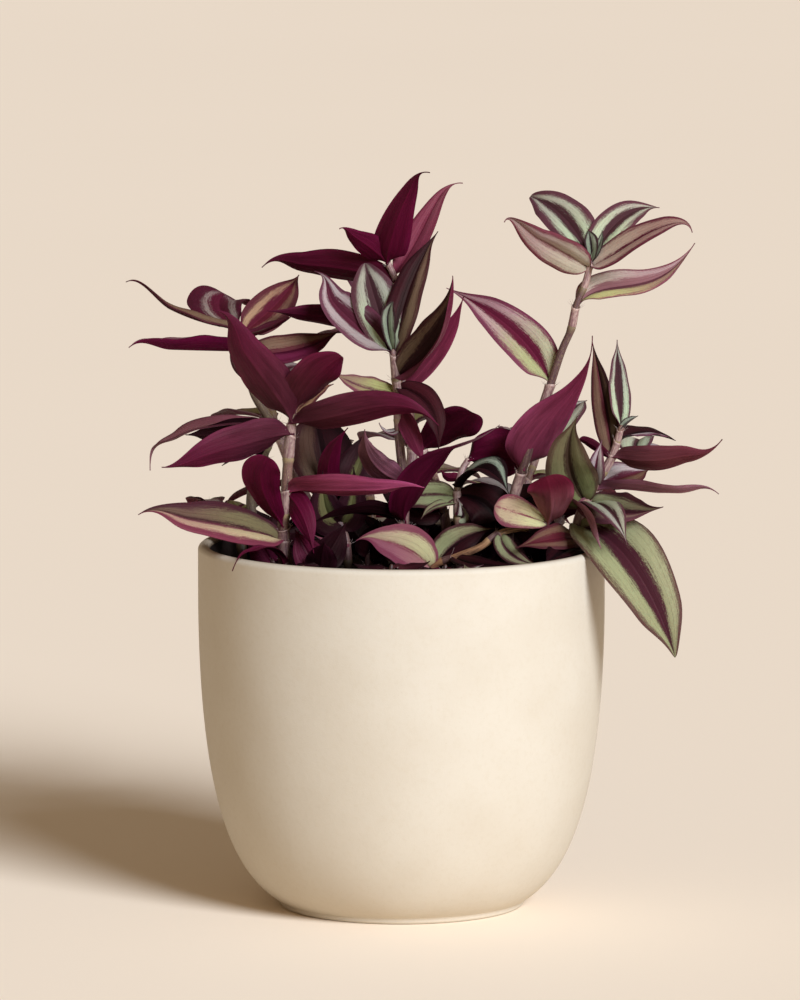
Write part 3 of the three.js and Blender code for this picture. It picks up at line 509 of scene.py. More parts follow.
# Sprouts that fill the pot between the stems: the scene alone has them
SPROUTS = [
    sprout(-29, -22, 20, ["dark", "plum", "wine"]),
    sprout(-46, 2, 90, ["dark", "plum", "umber"]),
    sprout(-12, 18, 160, ["wine", "dark", "umber"]),
    sprout(-28, 22, 240, ["dark", "wine", "umber"]),
    sprout(2, 10, 60, ["dark", "umber", "plum"]),
    sprout(12, 24, 200, ["wine", "dark", "dark"]),
    sprout(27, 10, 0, ["umber", "dark", "plum"]),
    sprout(37, 17, 120, ["dark", "wine", "plum"]),
    sprout(47, 8, 40, ["dark", "wine", "umber"]),
    sprout(-6, 32, 30, ["wine", "dark", "plum"]),
    sprout(24, 34, 300, ["plum", "dark", "umber"]),
    sprout(-44, 26, 170, ["dark", "plum", "wine"]),
    low_sprout(-17, -44, 200, ["plum", "sage", "dark"]),
    low_sprout(5, -50, 330, ["dark", "wine", "plum"]),
    low_sprout(27, -44, 110, ["sage", "plum", "dark"]),
    low_sprout(-35, -33, 60, ["dark", "mint", "plum"]),
    low_sprout(-4, -30, 20, ["wine", "dark", "sage"]),
    low_sprout(15, -31, 250, ["plum", "mint", "dark"]),
    low_sprout(43, -30, 300, ["dark", "plum", "sage"]),
]


# Small helpers

def linear(colour):
    """An sRGB colour, 0 to 255, as linear light with an alpha of 1."""
    parts = [part / 255 for part in colour]
    light = [part / 12.92 if part <= 0.04045 else ((part + 0.055) / 1.055) ** 2.4 for part in parts]
    return (*light, 1.0)


def unit(vectors):
    return vectors / np.linalg.norm(vectors, axis=-1, keepdims=True)


def smooth_step(low, high, value):
    share = np.clip((value - low) / (high - low), 0, 1)
    return share * share * (3 - 2 * share)


def grid_faces(rows, columns, first=0, ring=False, flip=False):
    """Quads over rows of points, with columns closed into rings where ring is set."""
    faces = []
    for row in range(rows - 1):
        for column in range(columns if ring else columns - 1):
            a = first + row * columns + column
            b = first + row * columns + (column + 1) % columns
            face = (a, b, b + columns, a + columns)
            faces.append(face[::-1] if flip else face)
    return faces


class Pile:
    """The points, faces and attributes of one piece, gathered from its parts."""

    def __init__(self):
        self.points = []
        self.faces = []
        self.kinds = []
        self.attributes = {}
        self.count = 0

    def add(self, points, faces, kind=0, **attributes):
        """Adds points and faces, which count from the first of these points. kind is the number of their
        material. An attribute has one value for all of the points, or one for each."""
        points = points.reshape(-1, 3)
        self.points.append(points)
        self.faces.extend(tuple(self.count + corner for corner in face) for face in faces)
        self.kinds.extend([kind] * len(faces))
        self.count += len(points)
        for name, values in attributes.items():
            values = np.asarray(values, float)
            width = values.shape[-1]
            values = np.broadcast_to(values.reshape(-1, width), (len(points), width))
            self.attributes.setdefault(name, []).append(values)

    def add_closed(self, rings, **attributes):
        """Rings joined into one closed body, with a point in the middle of each end."""
        rows, columns = rings.shape[:2]
        points = rings.reshape(-1, 3)
        faces = grid_faces(rows, columns, ring=True)
        low, high = len(points), len(points) + 1
        last = (rows - 1) * columns
        for column in range(columns):
            after = (column + 1) % columns
            faces.append((after, column, low))
            faces.append((last + column, last + after, high))
        for name, values in attributes.items():
            if np.ndim(values) > 1:
                values = values.reshape(len(points), -1)
                attributes[name] = np.vstack([values, values[:1], values[-1:]])
        self.add(np.vstack([points, rings[0].mean(0), rings[-1].mean(0)]), faces, **attributes)

    def piece(self, name, slot, materials, node=None):
        """The pile as an object of the scene that rides on the root body."""
        mesh = bpy.data.meshes.new(name)
        points = np.vstack(self.points) * MM
        mesh.from_pydata(points.tolist(), [], self.faces)
        for label, values in self.attributes.items():
            values = np.vstack(values)
            colour = values.shape[1] == 4
            layer = mesh.attributes.new(label, "FLOAT_COLOR" if colour else "FLOAT_VECTOR", "POINT")
            layer.data.foreach_set("color" if colour else "vector", values.ravel())
        for material in materials:
            mesh.materials.append(material)
        mesh.polygons.foreach_set("material_index", self.kinds)
        mesh.polygons.foreach_set("use_smooth", [True] * len(self.faces))
        mesh.update()
        obj = bpy.data.objects.new(name, mesh)
        bpy.context.scene.collection.objects.link(obj)
        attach(obj, "root")
        if node:
            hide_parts(node)


class Field:
    """A value that varies over a surface: the output of a node, which + - and * join with others."""

    def __init__(self, graph, socket):
        self.graph = graph
        self.socket = socket

    def __add__(self, other):
        return self.graph.math("ADD", self, other)

    def __sub__(self, other):
        return self.graph.math("SUBTRACT", self, other)

    def __mul__(self, other):
        return self.graph.math("MULTIPLY", self, other)


class Graph:
    """A material's nodes, made by short calls that give back the field to use next."""

    def __init__(self, name):
        self.material = bpy.data.materials.new(name)
        self.material.use_nodes = True
        self.tree = self.material.node_tree
        self.tree.nodes.clear()

    def node(self, kind, inputs, output=0, **settings):
        """A node with its settings and its inputs, by name or number, as the field of one output."""
        node = self.tree.nodes.new(kind)
        for name, value in settings.items():
            setattr(node, name, value)
        for name, value in inputs.items():
            if isinstance(value, Field):
                self.tree.links.new(value.socket, node.inputs[name])
            else:
                node.inputs[name].default_value = value
        return Field(self, node.outputs[output])

    def attribute(self, name):
        return self.node("ShaderNodeAttribute", {}, "Vector", attribute_name=name)

    def colour(self, name):
        return self.node("ShaderNodeAttribute", {}, "Color", attribute_name=name)

    def place(self):
        return self.node("ShaderNodeTexCoord", {}, "Object")

    def millimetres(self):
        return self.times(self.place(), (1 / MM, 1 / MM, 1 / MM))

    def parts(self, vector):
        node = self.node("ShaderNodeSeparateXYZ", {0: vector}).socket.node
        return [Field(self, socket) for socket in node.outputs]

    def math(self, operation, *values):
        return self.node("ShaderNodeMath", dict(enumerate(values)), operation=operation)

    def times(self, vector, scale):
        return self.node("ShaderNodeVectorMath", {0: vector, 1: scale}, operation="MULTIPLY")

    def step(self, value, low, high):
        """0 at low and 1 at high, smooth between them, and level beyond them."""
        inputs = {"Value": value, "From Min": low, "From Max": high}
        return self.node("ShaderNodeMapRange", inputs, "Result", interpolation_type="SMOOTHSTEP")

    def ranged(self, value, low, high):
        """0 to 1 stretched linearly to low to high."""
        return self.node("ShaderNodeMapRange", {"Value": value, "To Min": low, "To Max": high}, "Result")

    def mix(self, share, first, second):
        """Two colours mixed. One that is given by numbers is sRGB, 0 to 255."""
        first, second = (linear(tone) if isinstance(tone, tuple) else tone for tone in (first, second))
        return self.node("ShaderNodeMix", {0: share, 6: first, 7: second}, 2, data_type="RGBA")

    def coat(self, tone, colour, value, low, high, share=1.0):
        """The tone with a colour laid over it: none of it where value is low, and share where it's high."""
        return self.mix(self.step(value, low, high) * share, tone, colour)

    def tint(self, tone, scale, *where):
        """The tone with itself times scale laid over it, where and how much as for coat."""
        return self.coat(tone, self.times(tone, scale), *where)

    def shaded_near_soil(self, tone):
        """The tone, much darker near the soil: painted shade."""
        height = self.parts(self.place())[2]
        return self.tint(tone, (0.3, 0.22, 0.22), height, SOIL_SHADE_TO * MM, SOIL_SHADE_FROM * MM)

    def noise(self, vector, scale, detail=2, roughness=0.5):
        """scale is one number, or one for each direction."""
        if isinstance(scale, tuple):
            vector, scale = self.times(vector, scale), 1
        inputs = {"Vector": vector, "Scale": scale, "Detail": detail, "Roughness": roughness}
        return self.node("ShaderNodeTexNoise", inputs)

    def cells(self, vector, scale):
        return self.node("ShaderNodeTexVoronoi", {"Vector": vector, "Scale": scale}, "Distance")

    def bump(self, height, distance):
        return self.node("ShaderNodeBump", {"Strength": 1, "Distance": distance * MM, "Height": height})

    def finish(self, **sockets):
        """Ends in one shader, with its sockets named by words joined with underscores."""
        inputs = {name.replace("_", " "): value for name, value in sockets.items()}
        shader = self.node("ShaderNodeBsdfPrincipled", inputs)
        output = self.tree.nodes.new("ShaderNodeOutputMaterial")
        self.tree.links.new(shader.socket, output.inputs[0])
        return self.material


# Materials

def ceramic_material():
    """Matte cream ceramic: faint clouds of tone, a fine speckle and a skin that isn't quite even."""
    cream, pale_cream, clay, freckle = (198, 185, 163), (202, 190, 169), (187, 169, 139), (166, 142, 108)
    # dirt: a soil stain on the inner wall, darkened to near black as painted shade. The lip's dust is
    # darkened as painted shade
    dirt, dust_and_shade = (27, 14, 9), (142, 118, 90)
    g = Graph("matte_cream_ceramic")
    place = g.millimetres()
    clouds = g.noise(place, 0.035, 3)
    mottle = g.noise(place, 0.55, 4, 0.65)
    grain = g.noise(place, 2.6)
    tone = g.coat(cream, pale_cream, clouds, 0.3, 0.7)
    tone = g.coat(tone, clay, mottle, 0.45, 0.72, 0.16)
    tone = g.coat(tone, freckle, g.cells(place, 0.42), 0.12, 0.06, 0.14)

    x, y, level = g.parts(place)
    radius = g.math("SQRT", x * x + y * y)
    # The inner wall above the soil takes a soil stain darkened to near black: partly stain, partly painted
    # shade
    inside = g.math("LESS_THAN", radius, INNER_RADIUS + 0.5) * g.math("GREATER_THAN", level, STAIN_AND_SHADE_FROM)
    stained_and_shaded = inside * g.step(level + mottle * 3, STAIN_AND_SHADE_TO + 0.7, STAIN_AND_SHADE_TO - 0.7)
    tone = g.mix(stained_and_shaded, tone, dirt)
    # The lip takes a dull dust tone: partly dust, partly painted shade of the leaves that keep the light off
    # the rim
    on_lip = g.math("GREATER_THAN", level, POT_HEIGHT - LIP_RADIUS)
    dusty = on_lip * g.step(radius, RIM_RADIUS - 0.4, RIM_RADIUS - 2.3)
    tone = g.mix(dusty * LIP_DUST_AND_SHADE, tone, dust_and_shade)
    return g.finish(
        Base_Color=tone,
        Roughness=g.ranged(mottle, 0.58, 0.76),
        Specular_IOR_Level=0.32,
        Normal=g.bump(mottle * 0.5 + grain * 0.35 + clouds * 2, 0.1),
    )


def soil_material():
    damp, dry, crumb = (26, 17, 13), (50, 34, 25), (74, 52, 38)
    g = Graph("potting_soil")
    place = g.millimetres()
    coarse = g.noise(place, 0.3, 4)
    fine = g.noise(place, 2.2, 4, 0.7)
    tone = g.coat(damp, dry, coarse, 0.35, 0.65)
    return g.finish(
        Base_Color=g.coat(tone, crumb, fine, 0.55, 0.75),
        Roughness=g.ranged(fine, 0.82, 1.0),
        Specular_IOR_Level=0.25,
        Normal=g.bump(coarse + fine, 0.7),
    )


def speck_material():
    """Pale grains of perlite and pumice in the soil."""
    chalk, dusty = (214, 206, 190), (132, 108, 84)
    g = Graph("pale_soil_specks")
    place = g.millimetres()
    dirt = g.noise(place, 0.9, 3)
    return g.finish(
        Base_Color=g.coat(chalk, dusty, dirt, 0.4, 0.62),
        Roughness=g.ranged(dirt, 0.8, 0.95),
        Specular_IOR_Level=0.3,
        Normal=g.bump(g.cells(place, 2.4), 0.25),
    )


def leaf_material():
    """Two pale bands beside a dark middle above, purple below, and veins. The pale bands take painted glints
    on their cells, and the underside takes painted sheen in streaks and grains and clouds of painted shade.
    """
    g = Graph("tradescantia_leaf")
    along, across, upper = g.parts(g.attribute("blade"))
    middle_width, margin_from, tip_share = g.parts(g.attribute("stripes"))
    grain = g.attribute("grain")
    side = g.math("ABSOLUTE", across)
    streaks = g.noise(grain, (0.11, 1.5, 1), 3, 0.6)
    fibres = g.noise(grain, (0.6, 5, 1), 3, 0.7)
    clouds = g.noise(grain, (0.07, 0.35, 1))
    granules = g.noise(grain, (2.2, 3.2, 1), 3, 0.7)
    cells = g.cells(g.times(grain, (1.0, 1.5, 1)), 2.6)

    # The edges of the bands wander and break up in streaks
    wander = (streaks - 0.5) * 0.4
    place = side + wander + (fibres - 0.5) * 0.3 + (granules - 0.5) * 0.3
    middle_edge = middle_width * (g.math("SINE", along * math.pi) * 0.75 + 0.45)
    narrowing = g.math("POWER", along, 3) * 0.3
    margin = g.colour("margin")
    pale = g.coat(g.colour("band_base"), g.colour("band_tip"), along + wander, 0.2, 0.72)
    pale = g.coat(pale, margin, fibres, 0.5, 0.72, 0.42)
    # Painted glints: the pale bands lighter on their cells
    pale = g.tint(pale, (1.45, 1.45, 1.42), cells, 0.34, 0.12, 0.6)
    above = g.coat(g.colour("middle"), pale, place, middle_edge - 0.07, middle_edge + 0.1)
    above = g.coat(above, margin, place + narrowing, margin_from - 0.08, margin_from + 0.18)
    above = g.coat(above, margin, along, 0.84, 1.0, tip_share)

    below = g.coat(g.colour("under_base"), g.colour("under_tip"), along, 0.15, 0.85)
    below = g.tint(below, (0.6, 0.5, 0.55), along + wander, 0.5, 0.0, 0.55)
    # Clouds of darker tone on the underside: partly uneven colour, partly painted shade
    below = g.tint(below, (0.55, 0.45, 0.5), clouds, 0.42, 0.68, 0.55)
    below = g.tint(below, (1.6, 1.75, 1.9), place, 0.6, 1.0, 0.6)
    # Painted sheen: the underside lighter in streaks and grains
    below = g.tint(below, (1.4, 1.3, 1.4), streaks, 0.5, 0.75, 0.3)
    below = g.tint(below, (1.35, 1.3, 1.4), granules, 0.5, 0.8, 0.3)

    vein_wave = g.math("ABSOLUTE", g.math("SINE", side * (6 * math.pi)))
    vein = g.step(vein_wave, 0.2, 0.02) * g.step(side, 0.03, 0.12)
    colour = g.mix(upper, below, above)
    colour = g.mix(vein * 0.3, colour, g.times(colour, (0.6, 0.55, 0.58)))
    colour = g.tint(colour, (1.4, 1.5, 1.4), side, 0.05, 0.01, 0.4)
    return g.finish(
        Base_Color=colour,
        Roughness=streaks * 0.2 + 0.44,
        Specular_IOR_Level=0.1,
        Specular_Tint=(1.0, 0.86, 0.68, 1.0),
        Subsurface_Weight=0.1,
        Subsurface_Radius=(1.0, 0.4, 0.4),
        Subsurface_Scale=0.7 * MM,
        Normal=g.bump(vein * -0.8 + fibres * 0.5 + cells * 0.5, 0.07),
    )


def stalk_material():
    """Brown-purple stems with fine streaks, yellowish at the joints."""
    purple = (62, 30, 36)
    g = Graph("tradescantia_stalk")
    grain = g.attribute("grain")
    closeness = g.parts(g.attribute("stalk"))[0]
    streaks = g.noise(grain, (1.6, 1.6, 0.16), 3, 0.6)
    specks = g.noise(grain, (3.0, 3.0, 1.6), 2, 0.6)
    bark = g.colour("bark")
    joint = g.colour("joint")
    tone = g.coat(bark, g.mix(0.7, bark, purple), streaks, 0.4, 0.66)
    tone = g.coat(tone, g.mix(0.8, tone, joint), specks, 0.54, 0.68, 0.85)
    tone = g.coat(tone, joint, closeness + (streaks - 0.5) * 0.7, 0.2, 1.15, 0.7)
    return g.finish(
        # Darker near the soil: painted shade
        Base_Color=g.shaded_near_soil(tone),
        Roughness=g.ranged(streaks, 0.38, 0.6),
        Specular_IOR_Level=0.42,
        Subsurface_Weight=0.08,
        Subsurface_Radius=(1.0, 0.5, 0.4),
        Subsurface_Scale=0.8 * MM,
        Normal=g.bump(streaks + specks * 0.4, 0.1),
    )


def sheath_material():
    """The papery sheath above a joint, pinkish with purple veins."""
    paper, shade, purple, edge = (168, 138, 124), (134, 100, 94), (104, 56, 66), (190, 160, 142)
    g = Graph("papery_sheath")
    grain = g.attribute("grain")
    height_share = g.parts(g.attribute("stalk"))[1]
    veins = g.noise(grain, (2.6, 2.6, 0.1))
    mottle = g.noise(grain, (1.2, 1.2, 0.6), 3)
    tone = g.coat(paper, shade, mottle, 0.35, 0.7)
    tone = g.coat(tone, purple, veins, 0.48, 0.62, 0.65)
    tone = g.coat(tone, edge, height_share, 0.86, 1.0, 0.6)
    return g.finish(
        # Darker near the soil: painted shade
        Base_Color=g.shaded_near_soil(tone),
        Roughness=g.ranged(veins, 0.4, 0.6),
        Specular_IOR_Level=0.4,
        Subsurface_Weight=0.1,
        Subsurface_Radius=(1.0, 0.5, 0.5),
        Subsurface_Scale=0.6 * MM,
        Normal=g.bump(veins, 0.1),
    )


def plain_material(name, first, second, scale, roughness, specular):
    """Two close tones in soft patches, scale to the metre."""
    g = Graph(name)
    tone = g.mix(g.noise(g.place(), scale), first, second)
    return g.finish(Base_Color=tone, Roughness=roughness, Specular_IOR_Level=specular)


# The pot and its soil

def bezier(start, first, second, end, count):
    t = np.linspace(0, 1, count)[:, None]
    start, first, second, end = (np.array(point, float) for point in (start, first, second, end))
    return (1 - t) ** 3 * start + 3 * (1 - t) ** 2 * t * first + 3 * (1 - t) * t**2 * second + t**3 * end


def lathe(profile, sides):
    """Points of a profile, (radius, height), turned about +Z, as one ring for each of its points."""
    turns = np.linspace(0, 2 * math.pi, sides, endpoint=False)
    radius, height = profile[:, :1], profile[:, 1:]
    return np.dstack([radius * np.cos(turns), radius * np.sin(turns), height + 0 * turns])


def arc(centre, radius, start_degrees, end_degrees, count):
    turn = np.radians(np.linspace(start_degrees, end_degrees, count))
    return np.column_stack([centre[0] + radius * np.cos(turn), centre[1] + radius * np.sin(turn)])


def level_line(start, end, height, count):
    """A line of a profile at one height, from one radius to another."""
    return np.column_stack([np.linspace(start, end, count), np.full(count, height)])


def inner_wall(inset, count):
    """The pot's inner wall, or the line that lies inside it by inset."""
    top = INNER_RADIUS - inset
    return bezier(
        (FOOT_RADIUS - 4, FLOOR_THICKNESS + inset), (INNER_BELLY[0] - inset, INNER_BELLY[1] + inset),
        (top, WALL[1]), (top, SHOULDER_HEIGHT - 5), count,
    )


def pot():
    outer = bezier((FOOT_RADIUS, 0), BELLY, WALL, (RIM_RADIUS, SHOULDER_HEIGHT), count=64)
    outer = outer[outer[:, 1] > FOOT_EDGE]
    outer[:, 0] = np.minimum(outer[:, 0], RIM_RADIUS)
    foot_reach = outer[0, 0] - FOOT_EDGE
    foot = arc((foot_reach, FOOT_EDGE), FOOT_EDGE, -90, 0, count=6)
    lip = arc((RIM_RADIUS - LIP_RADIUS, POT_HEIGHT - LIP_RADIUS), LIP_RADIUS, 0, 180, count=18)
    underside = level_line(2, foot_reach - 1, 0, count=12)
    inner = inner_wall(inset=0, count=40)[::-1]
    inside_floor = level_line(34, 2, FLOOR_THICKNESS, count=8)
    profile = np.vstack([underside, foot[:-1], outer, lip, inner, inside_floor])
    pile = Pile()
    pile.add_closed(lathe(profile, POT_SIDES))
    pile.piece("cream_pot", "pot", [ceramic_material()], node="pot")


def soil_height(x, y):
    """The level of the soil: gently uneven, and lower at the pot's wall."""
    radius = np.hypot(x, y)
    waves = 0.5 * np.sin(0.21 * x + 1.3) * np.cos(0.17 * y - 0.4) + 0.3 * np.sin(0.57 * x - 0.43 * y)
    drop = SOIL_EDGE_DROP * smooth_step(INNER_RADIUS - 9, INNER_RADIUS, radius)
    return SOIL_TOP - SURFACE_DROP + waves * (radius < INNER_RADIUS - 1) - drop


def lump(centre, size, flat, rng):
    """A small uneven grain: the rings of a rough ball, leaning and turned."""
    rings = []
    for level in GRAIN_LEVELS:
        reach = math.sqrt(max(0.12, 1 - level * level))
        first = rng.random() * 0.5
        ring = []
        for side in range(GRAIN_SIDES):
            turn = first + 2 * math.pi * side / GRAIN_SIDES
            rough = size * reach * rng.uniform(0.72, 1.15)
            ring.append((rough * math.cos(turn), rough * math.sin(turn), size * level * flat))
        rings.append(ring)
    turn = rng.uniform(0, math.pi)
    lean = rng.uniform(-0.7, 0.7)
    c, s = math.cos(lean), math.sin(lean)
    leaning = np.array([[1, 0, 0], [0, c, -s], [0, s, c]])
    c, s = math.cos(turn), math.sin(turn)
    turning = np.array([[c, -s, 0], [s, c, 0], [0, 0, 1]])
    return np.array(rings) @ leaning.T @ turning.T + np.array(centre, float)


def crumb_size(rng):
    return rng.uniform(0.5, 1.5) if rng.random() < 0.85 else rng.uniform(1.4, 2.4)


def speck_size(rng):
    return rng.uniform(0.5, 1.25)


def strew(name, count, reach, size_of, lift, flatness, material, rng):
    """Grains strewn over the soil as far as reach, each lifted out of it by a share of its size."""
    pile = Pile()
    for _ in range(count):
        radius = reach * math.sqrt(rng.random())
        turn = rng.uniform(0, 2 * math.pi)
        size = size_of(rng)
        x, y = radius * math.cos(turn), radius * math.sin(turn)
        flat = rng.uniform(*flatness)
        pile.add_closed(lump((x, y, soil_height(x, y) + lift * size), size, flat, rng))
    pile.piece(name, "soil", [material])


def soil():
    rng = random.Random(SOIL_SEED)
    earth = soil_material()
    edge = INNER_RADIUS - SEAT_GAP
    bottom = level_line(2, 30, FLOOR_THICKNESS + SEAT_GAP, count=2)
    below = np.vstack([bottom, inner_wall(SEAT_GAP, count=20)])
    surface = level_line(edge, 1, SOIL_TOP, SOIL_RINGS)
    top = lathe(surface, SOIL_SIDES)
    rough = [rng.gauss(0, SOIL_ROUGHNESS) for _ in range(SOIL_RINGS * SOIL_SIDES)]
    rough = np.reshape(rough, (SOIL_RINGS, SOIL_SIDES)) * (surface[:, :1] < edge - 0.5)
    height = soil_height(top[..., 0], top[..., 1]) + rough
    top[..., 2] = np.minimum(height, SOIL_TOP + HIGHEST_CRUMB)
    pile = Pile()
    pile.add_closed(np.vstack([lathe(below, SOIL_SIDES), top]))
    pile.piece("dark_soil", "soil", [earth], node="soil")
    strew("soil_crumbs", CRUMBS, edge - 3, crumb_size, 0.2, (0.5, 0.9), earth, rng)
    strew("soil_specks", SPECKS, edge - 2.5, speck_size, 0.45, (0.7, 1.0), speck_material(), rng)


# Leaves

def smooth_line(points, t):
    """The point at t, 0 to 1, on the smooth curve through the points, as the solids draw it."""
    reach = (len(points) - 1) * t
    index = min(int(reach), len(points) - 2)
    share = reach - index
    start, end = points[index], points[index + 1]
    before = points[index - 1] if index > 0 else 2 * start - end
    after = points[index + 2] if index + 2 < len(points) else 2 * end - start
    d0, d1, d2 = (np.linalg.norm(b - a) ** 0.5 for a, b in ((before, start), (start, end), (end, after)))
    leave = ((start - before) / d0 - (end - before) / (d0 + d1) + (end - start) / d1) * d1
    arrive = ((end - start) / d1 - (after - start) / (d1 + d2) + (after - end) / d2) * d1
    bend2 = -3 * start + 3 * end - 2 * leave - arrive
    bend3 = 2 * start - 2 * end + leave + arrive
    return start + leave * share + bend2 * share**2 + bend3 * share**3


def rib_points(points, t):
    """The smooth curve through evenly spaced points, at every t."""
    last = len(points) - 1
    places = np.zeros((len(t), 3))
    for i, point in enumerate(points):
        weight = np.ones(len(t))
        for j in range(last + 1):
            if j != i:
                weight = weight * (t * last - j) / (i - j)
        places += weight[:, None] * point
    return places


def leaf_colours(row, across, rng):
    """The colours of a leaf's points, each leaf a little lighter or darker than its palette."""
    lightness = rng.uniform(*LIGHTNESS)
    left, right, under = (
        np.array([linear(colour) for colour in palette])
        for palette in (UPPER[row.upper[0]], UPPER[row.upper[1]], UNDER[row.under])
    )
    for colours, warmth in ((left, LEAF_WARMTH), (right, LEAF_WARMTH), (under, UNDER_WARMTH)):
        uneven = np.array([rng.uniform(*UNEVENNESS) for _ in range(3)])
        colours[:, :3] *= lightness * np.array(warmth) * uneven
    share = smooth_step(-0.08, 0.08, across.ravel())[:, None]
    named = {"under_base": under[0], "under_tip": under[1]}
    for index, name in enumerate(("middle", "band_base", "band_tip", "margin")):
        named[name] = left[index] * (1 - share) + right[index] * share
    return named


def leaf_frame(row, stem, t, rng):
    """The rib of a leaf, with the directions across the leaf and out of its upper face, at every t."""
    base = smooth_line(stem.points, row.at / stem.reaches)
    near_tip = np.clip((t - BOW_START) / (1 - BOW_START), 0, 1)
    # 27 / 4 makes the bow as high as crook where it is highest
    bow = (near_tip**2 * (1 - near_tip) * 27 / 4)[:, None] * row.crook
    rib = rib_points(np.array([base, *row.rib], float), t) + bow
    direction = unit(np.gradient(rib, t, axis=0))
    normal = unit(row.face - (direction @ row.face)[:, None] * direction)
    over = np.cross(normal, direction)
    twist = (math.radians(rng.uniform(*TWIST_DEGREES)) * t**1.5)[:, None]
    twisted_over = over * np.cos(twist) - normal * np.sin(twist)
    twisted_normal = normal * np.cos(twist) + over * np.sin(twist)
    return rib, twisted_over, twisted_normal


def half_width(row, stem, t):
    """Half the width of a leaf at every t, clasping the stem at its base."""
    tip_fullness = BASE_FULLNESS * (1 - WIDEST_AT) / WIDEST_AT * row.taper
    pointed = ((1 - t) / (1 - WIDEST_AT)) ** tip_fullness * (1 - 0.42 * smooth_step(0.7, 0.97, t))
    rounded = np.sqrt(np.clip(1 - np.clip((t - WIDEST_AT) / (1 - WIDEST_AT), 0, 1) ** 3, 0, 1))
    share = (t / WIDEST_AT) ** BASE_FULLNESS * (pointed * (1 - row.blunt) + rounded * row.blunt)
    half = ((row.wide / 2 * share) ** 4 + (CLASP * stem.radius * (1 - t) ** 6) ** 4) ** 0.25
    return np.maximum(half, TIP_THREAD)


def cross_section(row, t, half, small, rng):
    """How far the points of a blade reach aside from its rib and rise over it. It is folded along the rib,
    with each half crowned or hollow, pleats along the veins and a rippled margin."""
    u = np.abs(COLUMNS)
    side = np.sign(COLUMNS)
    at_base = np.clip(1 - t / BASE_END, 0, 1) ** 1.5
    at_tip = smooth_step(TIP_START, 1.0, t)
    fold = row.fold + (math.radians(BASE_FOLD_DEGREES) - row.fold) * at_base
    fold = fold + math.radians(TIP_FOLD_DEGREES) * at_tip * small
    fold = fold * (1 - 0.85 * row.blunt * smooth_step(0.3, 0.85, t))
    crown = rng.uniform(*CROWN) * (1 - row.cup) * (1 - at_base) * (1 - 0.7 * at_tip)
    hollow = HOLLOW * row.cup * (1 - at_base)
    curl = rng.uniform(*CURL) * (1 - at_base) * (1 - row.cup)
    pleats = PLEAT_HEIGHT * smooth_step(0.05, 0.3, t) * (1 - smooth_step(0.6, 0.95, t)) * small
    waves = rng.uniform(*WAVES)
    depth = rng.uniform(*WAVE_DEPTH)
    phase, other_phase = rng.uniform(0, 6), rng.uniform(0, 6)
    fold_of = fold[:, None] + math.radians(rng.uniform(*LEAN_DEGREES)) * side
    ripple = depth * np.sin(2 * math.pi * waves * t[:, None] + np.where(side > 0, phase, other_phase))
    ripple = ripple * u**2 * smooth_step(0.12, 0.35, t)[:, None]
    reach = half[:, None] * u * np.cos(fold_of)
    rise = half[:, None] * (
        np.sin(fold_of) * (u - hollow[:, None] * u * (1 - u)) + crown[:, None] * u * (1 - u)
        - curl[:, None] * u**3 + ripple
    )
    rise = rise + pleats[:, None] * np.sin(2 * math.pi * PLEATS * u + 0.6) * smooth_step(0.1, 0.25, u)
    return reach * side, rise


def two_sided_faces(rows, columns, flip):
    """The faces of two equal grids of points, one over the other, and of the strip round their edges."""
    total = rows * columns
    faces = grid_faces(rows, columns, flip=flip) + grid_faces(rows, columns, first=total, flip=not flip)
    rim = [row * columns for row in range(rows)]
    rim += [(rows - 1) * columns + column for column in range(1, columns)]
    rim += [row * columns + columns - 1 for row in range(rows - 2, -1, -1)]
    rim += [column for column in range(columns - 2, 0, -1)]
    for a, b in zip(rim, rim[1:] + rim[:1]):
        face = (a, b, b + total, a + total)
        faces.append(face if flip else face[::-1])
    return faces


def blade(pile, row, stem, rng):
    """A leaf blade with its two faces, a groove over the midrib, a keel under it and a tip that ends in a
    thread."""
    even = np.linspace(0, 1, stem.leaf_rows)
    t = 0.35 * even + 0.65 * (1 - np.cos(math.pi * even)) / 2
    small = min(1.0, row.wide / FULL_SIZE)
    rib, over, normal = leaf_frame(row, stem, t, rng)
    half = half_width(row, stem, t)
    reach, rise = cross_section(row, t, half, small, rng)
    middle = rib[:, None] + over[:, None] * reach[..., None] + normal[:, None] * rise[..., None]
    sink = BASE_SINK * stem.radius * np.clip(1 - t / 0.14, 0, 1) ** 2
    middle = middle - (normal * sink[:, None])[:, None]

    u = np.abs(COLUMNS)
    outward = unit(np.cross(np.gradient(middle, axis=0), np.gradient(middle, axis=1)))
    flip = np.sign((outward * normal[:, None]).sum(-1).mean())
    outward = outward * flip
    thick = BLADE_THICKNESS / 2 * (1 - 0.6 * u**2) * (0.55 + 0.45 * (1 - t))[:, None]
    groove = MIDRIB_GROOVE * np.exp(-((u / 0.07) ** 2)) * (1 - t)[:, None] * small
    keel = MIDRIB_HEIGHT * np.exp(-((u / 0.09) ** 2)) * ((1 - t) ** 0.7)[:, None] * small
    top = middle + outward * (thick - groove)[..., None]
    bottom = middle - outward * (thick + keel)[..., None]

    length = np.linalg.norm(np.diff(rib, axis=0), axis=1).sum()
    along, across = np.broadcast_arrays(t[:, None], COLUMNS)
    seed = np.full(along.shape, rng.uniform(0, 500))
    flat = np.dstack([along * length, across * row.wide / 2, seed])
    sides = [np.dstack([along, across, np.full(along.shape, upper)]) for upper in (1, 0)]
    pile.add(
        np.stack([top, bottom]), two_sided_faces(*along.shape, flip < 0), blade=np.stack(sides),
        grain=np.stack([flat, flat + (0, 0, UNDERSIDE_GRAIN)]), stripes=row.stripes,
        **leaf_colours(row, np.stack([across, across]), rng),
    )


# Stems

